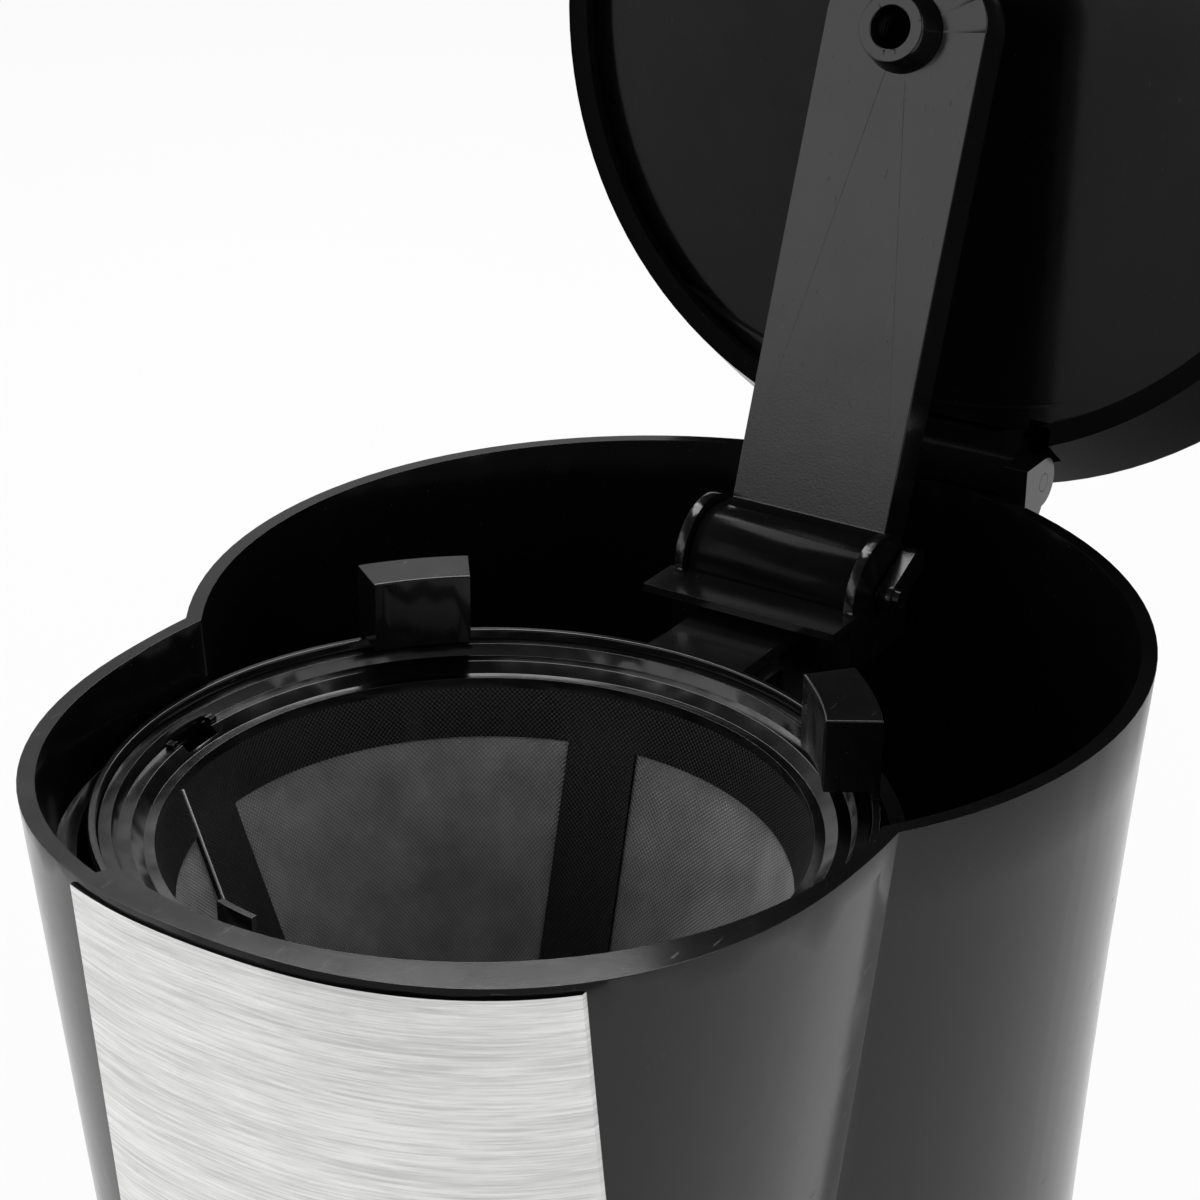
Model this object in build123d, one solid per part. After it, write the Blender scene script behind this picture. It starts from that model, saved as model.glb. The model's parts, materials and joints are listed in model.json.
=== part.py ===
from build123d import *
import os
from math import cos, sin, radians, pi

# Drip coffee maker, millimetres, +Z up, front towards -Y.
# The origin is the middle of the machine's width and depth, lid open, on the surface that the feet stand on.

# Plan of the body at the rim: a round rear lobe and a squared oval front lobe
REAR_R = 86.0
REAR_Y = 7.0
LOBE_GAP = 58.5
FRONT_X = 71.0
FRONT_Y = 73.4
FRONT_SQUARE = 2.31
BOWL_Y = REAR_Y - LOBE_GAP
WALL = 2.8
LOBE_POINTS = 36
RIM_WALL = 2.8

# Heights
FOOT_H = 6.0
BASE_H = 52.0
BAY_H = 142.0
HOUSING_H = 105.0
BASE_Z = FOOT_H
DECK_Z = BASE_Z + BASE_H
BAY_Z = DECK_Z + BAY_H
RIM_Z = BAY_Z + HOUSING_H
TANK_DEPTH = 155.0
TANK_Z = RIM_Z - TANK_DEPTH
PARTITION_DROP = 15.0
PARTITION_Z = RIM_Z - PARTITION_DROP

# Body walls
COLUMN_R = 79.0
WAIST_R = 79.6
WAIST_DROP = 125.0
LOBE_TAPER = 10.0
HOUSING_ROUND = 5.0
BUCKET_R = 68.4
BRIM_R = 67.6
BRIM_ANGLE = -50.5
BRIM_SPAN = 119.0
BUCKET_FLOOR_R = 58.0
BAY_R = 74.0
WING_SETBACK = 28.5
WING_Y = BOWL_Y + WING_SETBACK
BOSS_HALF = 13.0
BOSS_DEPTH = 11.0
BOSS_H = 30.0

# Steel panel on the front lobe, its two edges measured from the middle
PANEL_LEFT = -27.5
PANEL_RIGHT = 53.5
PANEL_T = 0.7
PANEL_FOOT = 9.0
PANEL_DROP = 1.6

# Base
BASE_STEP = 3.0
BASE_FLARE = 2.0
BASE_ROUND = 3.0
COVER_T = 2.5
COVER_GAP = 0.3
PASSAGE_HALF = 42.0
PASSAGE_SETBACK = 3.0
PASSAGE_DEPTH = 44.0
VENT_COUNT = 6
VENT_PITCH = 11.0
VENT_W = 4.0
VENT_L = 46.0
FOOT_R = 8.0
FOOT_X = 50.0
FOOT_BACK = REAR_Y + 38.0
FOOT_FRONT = BOWL_Y - 39.5
SCREW_R = 1.6
SCREW_HEAD_R = 3.2
SCREW_HEAD_H = 1.8
SCREW_L = 10.0
SCREW_X = 32.0

# Hot plate and heater
PLATE_R = 57.5
PLATE_T = 3.2
PLATE_RISE = 2.0
SEAL_T = 2.8
SEAL_LIP = 2.6
SEAL_LIP_H = 0.9
HEATER_R = 36.0
HEATER_W = 14.0
HEATER_H = 8.5
HEATER_LEG = 34.0
NIPPLE_R = 4.0
NIPPLE_L = 14.0
NIPPLE_DROP = 2.0
STRAP_W = 12.0
STRAP_T = 1.5
THERMOSTAT_R = 8.0
THERMOSTAT_H = 7.0
TERMINAL_TAB_HALF = 3.0
TERMINAL_TAB_W = 4.0
TERMINAL_TAB_T = 2.0
FUSE_R = 2.2
FUSE_L = 9.0

# Water path
HOSE_R = 6.0
HOSE_FIT = 8.0
HOSE_BEND = 16.0
COLD_KNEE = 30.0
COLD_RISE = 16.0
HOT_KNEE = 14.0
HOT_RISE = 24.0
OUTLET_X = -24.0
OUTLET_Y = REAR_Y + 48.0
VALVE_BODY_R = 7.0
VALVE_BODY_H = 16.0
RISER_R = 5.5
RISER_BORE = 3.8
RISER_TAIL = 14.0
GROMMET_R = 9.0
GROMMET_NECK = 7.2
GROMMET_LIP = 2.4
CLAMP_T = 0.9
CLAMP_W = 5.0

# Water arm
ARM_Y = REAR_Y + 45.0
ARM_DROP = 8.5
ARM_Z = RIM_Z - ARM_DROP
ARM_OPEN = 109.0
ARM_HALF = 16.6
ARM_T = 9.0
ARM_LIFT = 2.6
ARM_REACH = LOBE_GAP + (ARM_Y - REAR_Y)
ARM_TIP = 12.0
ARM_SKIN = 1.6
DRUM_R = 9.8
DRUM_HALF = 17.0
LEDGE_DEPTH = 7.0
LEDGE_H = 5.0
LEDGE_SINK = 0.3
NOZZLE_R = 8.0
NOZZLE_TAPER = 1.5
NOZZLE_L = 6.0
PIN_R = 2.0
PIN_RUN = 0.05
PIN_PROUD = 1.2
CHEEK_X = 17.4
CHEEK_T = 1.9
CHEEK_R = 11.3
SADDLE_DROP = 10.6
SADDLE_T = 2.4
PLATE_HALF = 20.4
PLATE_FRONT = 20.5
PLATE_BACK = 10.3
BRACKET_PLATE_T = 1.6
TONGUE_HALF = 10.0
LEVER_L = 9.0
LEVER_W = 6.0
LEVER_T = 2.8
LEVER_TILT = 25.0

# Lid
LID_OPEN = 100.0
LID_GAP = 0.9
LID_FLARE = 9.0
LID_FLARE_H = 20.0
LID_CROWN_H = 6.5
LID_ROUND = 10.0
LID_WALL = 2.4
LID_LIP = 4.2
LID_LIP_H = 2.6
LINER_T = 2.0
LINER_RISE = 6.0
LINER_GAP = 1.0
LAND_R = 118.0
LAND_BACK = 83.0
LAND_T = 0.8
HINGE_BACK = 0.9
HINGE_RISE = 2.8
HINGE_Y = REAR_Y + REAR_R + HINGE_BACK
HINGE_Z = RIM_Z + HINGE_RISE
KNUCKLE_R = 4.8
KNUCKLE_ROOT = 2.5
LUG_R = 5.0
LUG_X = {-1: 23.0, 1: 27.5}
LUG_T = 5.2
LUG_ROOT = {-1: 6.4, 1: 8.2}
LUG_NOTCH = 3.0
LUG_DROP = 14.0
SILL_BACK = 2.5
SILL_T = 1.5
HINGE_SIDE_GAP = 0.6
HINGE_PIN_R = 1.8
HINGE_PIN_IN = 11.0

# Filter basket
BASKET_R = 65.0
BASKET_DROP = 12.0
BASKET_TOP = RIM_Z - BASKET_DROP
BASKET_FLOOR_R = 38.0
BASKET_WALL = 2.2
BASKET_FOOT = 4.0
FLANGE_W = 3.0
FLANGE_T = 3.0
LIP_W = 1.4
LIP_H = 1.8
SEAT_DROP = 1.7
TAB_ANGLES = (136.0, 41.0)
TAB_SPAN = 18.0
TAB_DEPTH = 9.5
SEAT_GAP = 0.3
TAB_RISE = 4.3
TAB_FOOT = 3.0

# Permanent filter
RING_H = 1.8
RING_W = 2.1
RING_T = 1.6
STEP_SLOPE = 0.8
STEP_DROP = 2.0
STEP_W = 2.25
THROAT_SLOPE = 2.0
THROAT_DROP = 1.6
THROAT_W = 1.8
THROAT_LIP = 2.0
UNDER_OUT = 0.6
FILTER_COLLAR_H = 8.5
FILTER_FLOOR_R = 32.0
FILTER_FLOOR_GAP = 11.0
FILTER_T = 2.0
FILTER_RIBS = 4
RIB_TURN = 10.0
RIB_W = 13.0
MESH_T = 0.6
NOTCH_ANGLE = 184.0
NOTCH_SPAN = 8.5
NOTCH_LAND = 0.2
LUMP_SPAN = 1.6
LUMP_RISE = 0.9
LUMP_OFF = 0.5
FILTER_TAB_ANGLE = 261.0
FILTER_TAB_SPAN = 8.0
FILTER_TAB_RISE = 4.4
FILTER_TAB_IN = 0.3

# Drip stop
VALVE_LIFT = 4.0
VALVE_GAP = 0.5
VALVE_STEM_R = 5.0
VALVE_HOLE_R = 7.5
VALVE_HEAD_R = 11.0
VALVE_HEAD_T = 2.4
VALVE_SEAL_T = 1.2
VALVE_FOOT_R = 12.0
VALVE_FOOT_T = 2.4
BAY_HOLE_R = 14.5
SPRING_R = 8.6
SPRING_WIRE = 0.5
SPRING_TURNS = 3
SPRING_GAP = 0.4
SPRING_TOP_GAP = 0.1

# Jug
JUG_GAP = 0.3
JUG_FOOT_R = 55.0
JUG_BELLY_R = 63.0
JUG_BELLY_H = 34.0
JUG_NECK_R = 44.0
JUG_NECK_DROP = 18.0
JUG_LIP_R = 47.0
JUG_TOP_GAP = 17.0
GLASS_T = 2.4
BAND_T = 1.0
BAND_H = 9.0
BAND_STAND = 3.0
HANDLE_OUT = 46.0
HANDLE_W = 22.0
HANDLE_T = 11.0
HANDLE_FOOT = 36.0
HANDLE_BEND = 16.0
HANDLE_ROUND = 0.38
HANDLE_PAD = 6.0
HANDLE_TAIL = 26.0
HANDLE_TAIL_DROP = 12.0
JUG_LID_GAP = 0.5
JUG_LID_T = 2.4
JUG_LID_PLUG = 7.0
JUG_LID_PLUG_GAP = 1.5
JUG_LID_PLUG_WALL = 2.0
JUG_LID_HOLE = 6.0
JUG_LID_DISH = 16.0
JUG_LID_STEP = 8.0
JUG_LID_STEP_H = 4.0
JUG_LID_DOME = 4.0
JUG_LID_TAB = 16.0
JUG_LID_TAB_W = 20.0
VALVE_CLEAR = 0.6

# Switch and cord entry
SWITCH_Z = BASE_Z + 26.0
BEZEL_W = 26.0
BEZEL_H = 22.0
BEZEL_T = 4.0
BEZEL_PROUD = 1.6
ROCKER_W = 18.0
ROCKER_R = 7.5
ROCKER_GAP = 0.6
ROCKER_SET = 2.5
ROCKER_TILT = 8.0
ROCKER_FACE = 14.0
ROCKER_RIDGE = 2.6
ROCKER_CUT = 10.0
SWITCH_DEPTH = 18.0
SWITCH_WALL = 2.0
SWITCH_FLOOR = 3.0
LAMP_R = 2.6
LAMP_X = 22.0
LAMP_SET = 1.4
LAMP_PROUD = 1.6
LAMP_L = 6.0
GLAND_R = 7.0
GLAND_FLANGE = 9.5
GLAND_FLANGE_T = 2.0
GLAND_INSIDE = 5.0
GLAND_OUTSIDE = 12.0
GLAND_STAND = 1.0
CORD_R = 3.3
GLAND_Z = BASE_Z + 22.0
TERMINAL_W = 32.0
TERMINAL_D = 12.0
TERMINAL_H = 11.0
TERMINAL_HOLE_R = 2.2
TERMINAL_HOLE_H = 5.0

# Working space round the model
SPAN = 600.0


def block(x0, x1, y0, y1, z0, z1):
    centre = Pos((x0 + x1) / 2, (y0 + y1) / 2, (z0 + z1) / 2)
    return centre * Box(x1 - x0, y1 - y0, z1 - z0)


def drum(radius, z0, z1, x=0.0, y=0.0):
    return Pos(x, y, (z0 + z1) / 2) * Cylinder(radius, z1 - z0)


def frustum(r0, r1, z0, z1, x=0.0, y=0.0):
    return Pos(x, y, (z0 + z1) / 2) * Cone(r0, r1, z1 - z0)


def rod_x(radius, x0, x1, y, z):
    return Pos((x0 + x1) / 2, y, z) * Rot(0, 90, 0) * Cylinder(radius, x1 - x0)


def rod_y(radius, x, y0, y1, z):
    return Pos(x, (y0 + y1) / 2, z) * Rot(90, 0, 0) * Cylinder(radius, y1 - y0)


def turned(points, y):
    """Turn a closed (radius, height) outline about the upright axis at y."""
    outline = make_face(Polyline(*[(r, 0, z) for r, z in points], close=True))
    return Pos(0, y, 0) * revolve(outline, Axis.Z)


def lobe_face(offset, z):
    """Squared oval of the front lobe, moved outwards by offset."""
    half_x = FRONT_X + offset
    half_y = FRONT_Y + offset
    points = []
    for i in range(LOBE_POINTS):
        turn = 2 * pi * i / LOBE_POINTS
        x_share = (abs(cos(turn)) / half_x) ** FRONT_SQUARE
        y_share = (abs(sin(turn)) / half_y) ** FRONT_SQUARE
        reach = (x_share + y_share) ** (-1 / FRONT_SQUARE)
        points.append((reach * cos(turn), BOWL_Y + reach * sin(turn), z))
    return make_face(Spline(points, periodic=True))


def front_lobe(profile):
    """Straight-sided stack of squared ovals, given as (offset, height)."""
    return loft([lobe_face(offset, z) for offset, z in profile], ruled=True)


def two_lobes(profile):
    """Both lobes with one (offset, height) profile."""
    outline = [(0, profile[0][1])]
    outline += [(REAR_R + offset, z) for offset, z in profile]
    outline += [(0, profile[-1][1])]
    return turned(outline, REAR_Y) + front_lobe(profile)


def rear_lobe(inset):
    """Rear lobe from deck to rim, drawn in at the waist, its surface moved in by inset."""
    side = ThreePointArc(
        (COLUMN_R - inset, 0, DECK_Z),
        (WAIST_R - inset, 0, RIM_Z - WAIST_DROP),
        (REAR_R - inset, 0, RIM_Z),
    )
    top = (REAR_R - inset, 0, RIM_Z)
    bottom = (COLUMN_R - inset, 0, DECK_Z)
    rest = Polyline(top, (0, 0, RIM_Z), (0, 0, DECK_Z), bottom)
    return Pos(0, REAR_Y, 0) * revolve(make_face([side, rest]), Axis.Z)


def slab(z0, z1):
    return block(-SPAN, SPAN, -SPAN, SPAN, z0, z1)


def jug_bay(inset):
    """Space of the jug under the housing, made larger by inset."""
    well = drum(BAY_R + inset, DECK_Z - 1, BAY_Z + inset, 0, BOWL_Y)
    front = block(-SPAN, SPAN, -SPAN, WING_Y + inset, DECK_Z - 1, BAY_Z + inset)
    return well + front


def bucket_radius(z):
    share = (z - BAY_Z - WALL) / (RIM_Z - BAY_Z - WALL)
    return BUCKET_FLOOR_R + (BUCKET_R - BUCKET_FLOOR_R) * share


def hinge_lug(side):
    """Lug on the rear wall that carries one end of the lid."""
    x0 = side * LUG_X[side]
    root = HINGE_Y - LUG_ROOT[side]
    outline = Polyline(
        (x0, root, RIM_Z - LUG_DROP),
        (x0, root, HINGE_Z + LUG_R),
        (x0, HINGE_Y, HINGE_Z + LUG_R),
        (x0, HINGE_Y, HINGE_Z - LUG_R),
        close=True,
    )
    web = extrude(make_face(outline), LUG_T, dir=(side, 0, 0))
    x1 = side * (LUG_X[side] + LUG_T)
    return web + rod_x(LUG_R, min(x0, x1), max(x0, x1), HINGE_Y, HINGE_Z)


def hinge_sill():
    """Cradle behind the rear wall, under the lid's knuckle."""
    root = HINGE_Y - LUG_ROOT[1]
    back = HINGE_Y + SILL_BACK
    outline = Polyline(
        (-LUG_X[-1], root, RIM_Z - LUG_DROP),
        (-LUG_X[-1], root, RIM_Z),
        (-LUG_X[-1], back, RIM_Z),
        (-LUG_X[-1], back, HINGE_Z - LUG_R - SILL_T),
        close=True,
    )
    return extrude(make_face(outline), LUG_X[-1] + LUG_X[1], dir=(1, 0, 0))


def housing_profile(offset, foot):
    """Side of the front lobe from foot above its underside to the rim, moved out by offset."""
    drop = LOBE_TAPER * (HOUSING_H - foot) / HOUSING_H
    return [(offset - drop, BAY_Z + foot), (offset, RIM_Z)]


def rounded_housing():
    """Front lobe with its lower edge rounded."""
    side = housing_profile(0, HOUSING_ROUND)
    edge = []
    for turn in (90, 60, 30):
        in_by = HOUSING_ROUND * (1 - cos(radians(turn)))
        down_by = HOUSING_ROUND * sin(radians(turn))
        edge.append((side[0][0] - in_by, side[0][1] - down_by))
    return front_lobe(edge + side)


def mouth():
    """Opening of the front lobe at the rim, kept round along the front so that the rim is broad there."""
    opening = front_lobe(housing_profile(-RIM_WALL, PARTITION_Z - BAY_Z))
    return opening - arc_block(BRIM_R, SPAN, BRIM_ANGLE, BRIM_SPAN, PARTITION_Z - 1, RIM_Z + 1)


def body_shell():
    tank_bottom = TANK_Z - WALL
    body = rear_lobe(0) & slab(tank_bottom, RIM_Z)
    body = body - jug_bay(0) + rounded_housing() + hinge_sill()
    partition_r = bucket_radius(PARTITION_Z)
    bucket_outer = frustum(BUCKET_FLOOR_R + WALL, partition_r + WALL, BAY_Z, PARTITION_Z, 0, BOWL_Y)
    boss_back = BOWL_Y + partition_r + BOSS_DEPTH
    boss = block(-BOSS_HALF, BOSS_HALF, BOWL_Y, boss_back, PARTITION_Z - BOSS_H, PARTITION_Z)
    tank = (rear_lobe(WALL) & slab(TANK_Z, RIM_Z)) - jug_bay(WALL) - bucket_outer - boss
    bucket = frustum(BUCKET_FLOOR_R, BUCKET_R, BAY_Z + WALL, RIM_Z, 0, BOWL_Y)
    body = body - tank - bucket - mouth()
    body = body - drum(BAY_HOLE_R, BAY_Z - 1, BAY_Z + WALL + 1, 0, BOWL_Y)
    body = body - drum(GROMMET_NECK, tank_bottom - 1, TANK_Z + 1, 0, ARM_Y)
    body = body - drum(NIPPLE_R, tank_bottom - 1, TANK_Z + 1, OUTLET_X, OUTLET_Y)
    for x, y in bracket_screw_places():
        body = body - drum(SCREW_R, PARTITION_Z - BOSS_H - 1, PARTITION_Z + 1, x, y)
    body = body - rod_x(KNUCKLE_R + HINGE_SIDE_GAP, -LUG_X[-1], LUG_X[1], HINGE_Y, HINGE_Z)
    for side in (-1, 1):
        body = body + hinge_lug(side)
    reach = LUG_X[1] + LUG_T + 1
    return body - rod_x(HINGE_PIN_R + PIN_RUN, -reach, reach, HINGE_Y, HINGE_Z)


def bracket_screw_places():
    y = BOWL_Y + bucket_radius(PARTITION_Z) + BOSS_DEPTH / 2
    return [(-TONGUE_HALF / 2, y), (TONGUE_HALF / 2, y)]


def column_shell():
    top = TANK_Z - WALL
    column = (rear_lobe(0) & slab(DECK_Z, top)) - jug_bay(0)
    hollow = (rear_lobe(WALL) & slab(DECK_Z, top)) - jug_bay(WALL)
    return column - hollow


def front_panel():
    outer = front_lobe(housing_profile(PANEL_T, PANEL_FOOT))
    skin = outer - front_lobe(housing_profile(0, PANEL_FOOT))
    return skin & block(PANEL_LEFT, PANEL_RIGHT, -SPAN, BOWL_Y, BAY_Z, RIM_Z - PANEL_DROP)


def base_profile(inset):
    top = COLUMN_R + BASE_STEP - REAR_R - inset
    return [(top + BASE_FLARE, BASE_Z), (top, DECK_Z - BASE_ROUND), (top - BASE_ROUND / 2, DECK_Z)]


def base_shell():
    roof = DECK_Z - WALL
    hollow = base_profile(WALL)
    hollow = [hollow[0], (hollow[1][0], roof)]
    base = two_lobes(base_profile(0)) - two_lobes(hollow)
    base = base - drum(PLATE_R + SEAL_T, roof - 1, DECK_Z + 1, 0, BOWL_Y)
    front = BOWL_Y + BAY_R + WALL + PASSAGE_SETBACK
    back = front + PASSAGE_DEPTH
    base = base - block(-PASSAGE_HALF, PASSAGE_HALF, front, back, roof - 1, DECK_Z + 1)
    base = base - bezel_block() - switch_block()
    base = base - rod_y(LAMP_R, LAMP_X, -SPAN, BOWL_Y, SWITCH_Z)
    return base - rod_y(GLAND_R, 0, REAR_Y, SPAN, GLAND_Z)


def cover_inset():
    return base_profile(WALL + COVER_GAP)[0][0]


def cover_screw_places():
    return [(side * SCREW_X, y) for side in (-1, 1) for y in (FOOT_FRONT, FOOT_BACK)]


def bottom_cover():
    inset = cover_inset()
    cover = two_lobes([(inset, BASE_Z), (inset, BASE_Z + COVER_T)])
    for i in range(VENT_COUNT):
        x = (i - (VENT_COUNT - 1) / 2) * VENT_PITCH
        slot = Pos(x, BOWL_Y, BASE_Z + COVER_T / 2) * Box(VENT_W, VENT_L, 2 * COVER_T)
        cover = cover - slot
    for x, y in cover_screw_places():
        cover = cover - drum(SCREW_R, BASE_Z - 1, BASE_Z + COVER_T + 1, x, y)
    return cover


def screw(x, y, z, length):
    """Pan-head screw from below, with its shank up from the bearing face at z."""
    return drum(SCREW_HEAD_R, z - SCREW_HEAD_H, z, x, y) + drum(SCREW_R, z, z + length, x, y)


def cover_screws():
    return Compound(children=[screw(x, y, BASE_Z, SCREW_L) for x, y in cover_screw_places()])


def rubber_feet():
    places = [(side * FOOT_X, y) for side in (-1, 1) for y in (FOOT_FRONT, FOOT_BACK)]
    return Compound(children=[frustum(FOOT_R - 1, FOOT_R, 0, FOOT_H, x, y) for x, y in places])


def plate_top():
    return DECK_Z + PLATE_RISE


def hot_plate():
    plate = drum(PLATE_R, plate_top() - PLATE_T, plate_top(), 0, BOWL_Y)
    return fillet(plate.edges().group_by(Axis.Z)[-1], PLATE_RISE / 2)


def hot_plate_seal():
    outer = PLATE_R + SEAL_T
    points = [
        (PLATE_R, DECK_Z - WALL),
        (outer, DECK_Z - WALL),
        (outer, DECK_Z),
        (outer + SEAL_LIP, DECK_Z),
        (outer + SEAL_LIP, DECK_Z + SEAL_LIP_H),
        (PLATE_R, DECK_Z + SEAL_LIP_H),
    ]
    return turned(points, BOWL_Y)


def heater_top():
    return plate_top() - PLATE_T


def nipple_z():
    return heater_top() - HEATER_H - NIPPLE_DROP


def heater_tube():
    """Aluminium heater bent to a U under the hot plate, with a water nipple on each leg."""
    z1 = heater_top()
    z0 = z1 - HEATER_H
    outer = drum(HEATER_R + HEATER_W / 2, z0, z1, 0, BOWL_Y)
    inner = drum(HEATER_R - HEATER_W / 2, z0 - 1, z1 + 1, 0, BOWL_Y)
    tube = (outer - inner) & block(-SPAN, SPAN, -SPAN, BOWL_Y, z0, z1)
    leg_end = BOWL_Y + HEATER_LEG
    for side in (-1, 1):
        x = side * HEATER_R
        tube = tube + block(x - HEATER_W / 2, x + HEATER_W / 2, BOWL_Y, leg_end, z0, z1)
        low = nipple_z() - HEATER_W / 2
        tube = tube + block(x - HEATER_W / 2, x + HEATER_W / 2, leg_end - HEATER_W, leg_end, low, z0)
        tube = tube + rod_y(NIPPLE_R, x, leg_end - 1, leg_end + NIPPLE_L, nipple_z())
        tube = tube - rod_y(NIPPLE_R / 2, x, leg_end - HEATER_W / 2, leg_end + NIPPLE_L + 1, nipple_z())
    return tube


def heater_strap():
    z1 = heater_top() - HEATER_H
    reach = HEATER_R + HEATER_W / 2
    strap = block(-reach, reach, BOWL_Y - STRAP_W / 2, BOWL_Y + STRAP_W / 2, z1 - STRAP_T, z1)
    return strap - drum(SCREW_R, z1 - STRAP_T - 1, z1 + 1, 0, BOWL_Y)


def strap_screw():
    return screw(0, BOWL_Y, heater_top() - HEATER_H - STRAP_T, HEATER_H + STRAP_T)


def thermostat_y():
    return BOWL_Y - HEATER_R


def thermostat():
    z1 = heater_top() - HEATER_H
    z0 = z1 - THERMOSTAT_H
    can = drum(THERMOSTAT_R, z0, z1, 0, thermostat_y())
    for side in (-1, 1):
        place = Pos(side * THERMOSTAT_R, thermostat_y(), z0)
        can = can + place * Box(2 * TERMINAL_TAB_HALF, TERMINAL_TAB_W, TERMINAL_TAB_T)
    return can


def thermal_fuse():
    z = heater_top() - HEATER_H - FUSE_R
    y = BOWL_Y + (STRAP_W / 2 + HEATER_LEG - HEATER_W) / 2
    fuse = rod_y(FUSE_R, -HEATER_R, y - FUSE_L / 2, y + FUSE_L / 2, z)
    return fuse + rod_y(FUSE_R / 3, -HEATER_R, y - FUSE_L * 0.7, y + FUSE_L * 0.7, z)


def hose(points):
    """Soft tube round a bent centre line, its bore the size of a nipple."""
    route = FilletPolyline(*points, radius=HOSE_BEND)
    ring = Plane(origin=route @ 0, z_dir=route % 0) * (Circle(HOSE_R) - Circle(NIPPLE_R))
    return sweep(ring, path=route)


def hose_start(side):
    return (side * HEATER_R, BOWL_Y + HEATER_LEG + NIPPLE_L - HOSE_FIT, nipple_z())


def valve_bottom():
    return TANK_Z - WALL - VALVE_BODY_H


def cold_hose_points():
    x, y, z = hose_start(-1)
    knee = (x, OUTLET_Y - COLD_KNEE, z)
    turn = (OUTLET_X, OUTLET_Y, z + COLD_RISE)
    return [(x, y, z), knee, turn, (OUTLET_X, OUTLET_Y, valve_bottom())]


def hot_hose_points():
    x, y, z = hose_start(1)
    knee = (x, ARM_Y - HOT_KNEE, z)
    turn = (0, ARM_Y, z + HOT_RISE)
    return [(x, y, z), knee, turn, (0, ARM_Y, riser_bottom() + HOSE_FIT)]


def riser_bottom():
    return TANK_Z - WALL - RISER_TAIL


def check_valve():
    z1 = TANK_Z - WALL
    body = drum(VALVE_BODY_R, valve_bottom() + HOSE_FIT, z1, OUTLET_X, OUTLET_Y)
    body = body + drum(NIPPLE_R, valve_bottom() - HOSE_FIT, TANK_Z, OUTLET_X, OUTLET_Y)
    return body - drum(NIPPLE_R / 2, valve_bottom() - HOSE_FIT - 1, TANK_Z + 1, OUTLET_X, OUTLET_Y)


def riser_tube():
    z1 = ARM_Z - SADDLE_DROP - SADDLE_T
    tail = riser_bottom()
    tube = drum(RISER_R, tail + HOSE_FIT, z1, 0, ARM_Y)
    tube = tube + drum(NIPPLE_R, tail, tail + HOSE_FIT, 0, ARM_Y)
    return tube - drum(RISER_BORE, tail - 1, z1 + 1, 0, ARM_Y)


def riser_grommet():
    z0 = TANK_Z - WALL
    points = [
        (RISER_R, z0 - GROMMET_LIP),
        (GROMMET_R, z0 - GROMMET_LIP),
        (GROMMET_R, z0),
        (GROMMET_NECK, z0),
        (GROMMET_NECK, TANK_Z),
        (GROMMET_R, TANK_Z),
        (GROMMET_R, TANK_Z + GROMMET_LIP),
        (RISER_R, TANK_Z + GROMMET_LIP),
    ]
    return turned(points, ARM_Y)


def hose_clamps():
    """Wire-width bands round each end of the two hoses."""
    bands = []
    for side in (-1, 1):
        x, y, z = hose_start(side)
        y0 = y + 1
        band = rod_y(HOSE_R + CLAMP_T, x, y0, y0 + CLAMP_W, z)
        bands.append(band - rod_y(HOSE_R, x, y0 - 1, y0 + CLAMP_W + 1, z))
    uprights = [(OUTLET_X, OUTLET_Y, valve_bottom()), (0, ARM_Y, riser_bottom() + HOSE_FIT)]
    for x, y, top in uprights:
        z0 = top - 1 - CLAMP_W
        band = drum(HOSE_R + CLAMP_T, z0, z0 + CLAMP_W, x, y)
        bands.append(band - drum(HOSE_R, z0 - 1, z0 + CLAMP_W + 1, x, y))
    return Compound(children=bands)


def saddle_floor():
    return ARM_Z - SADDLE_DROP


def cheek(side):
    """Round-topped upright of the bracket beside the arm's drum."""
    x0 = min(side * CHEEK_X, side * (CHEEK_X + CHEEK_T))
    x1 = x0 + CHEEK_T
    foot = saddle_floor() - SADDLE_T
    plate = block(x0, x1, ARM_Y - CHEEK_R, ARM_Y + CHEEK_R, foot, ARM_Z)
    plate = plate + rod_x(CHEEK_R, x0, x1, ARM_Y, ARM_Z)
    return plate - rod_x(PIN_R + PIN_RUN, -SPAN, SPAN, ARM_Y, ARM_Z)


def arm_bracket():
    """Saddle under the arm's drum with two cheeks, a front plate and a tongue to the partition."""
    floor = saddle_floor()
    foot = floor - SADDLE_T
    half = CHEEK_X + CHEEK_T
    saddle = block(-half, half, ARM_Y - CHEEK_R, ARM_Y + CHEEK_R, foot, floor)
    front = ARM_Y - PLATE_FRONT
    back = ARM_Y - PLATE_BACK
    plate = block(-PLATE_HALF, PLATE_HALF, front, back, ARM_Z - BRACKET_PLATE_T, ARM_Z)
    apron = block(-half, half, ARM_Y - CHEEK_R, back, foot, ARM_Z)
    tongue_front = BOWL_Y + bucket_radius(PARTITION_Z)
    tongue_top = PARTITION_Z + SADDLE_T
    tongue = block(-TONGUE_HALF, TONGUE_HALF, tongue_front, back, PARTITION_Z, tongue_top)
    bracket = saddle + plate + apron + tongue + cheek(-1) + cheek(1)
    bracket = bracket - drum(RISER_BORE, foot - 1, floor + 1, 0, ARM_Y)
    for x, y in bracket_screw_places():
        bracket = bracket - drum(SCREW_R, PARTITION_Z - 1, PARTITION_Z + SADDLE_T / 2, x, y)
    return bracket


def bracket_screws():
    """Two long screws up through the boss into the bracket's tongue."""
    z = PARTITION_Z - BOSS_H
    length = BOSS_H + SADDLE_T / 2
    return Compound(children=[screw(x, y, z, length) for x, y in bracket_screw_places()])


def raised(shape):
    """Swing a piece of the water arm from level up to its stop."""
    return shape.rotate(Axis((0, ARM_Y, ARM_Z), (1, 0, 0)), -ARM_OPEN)


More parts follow.
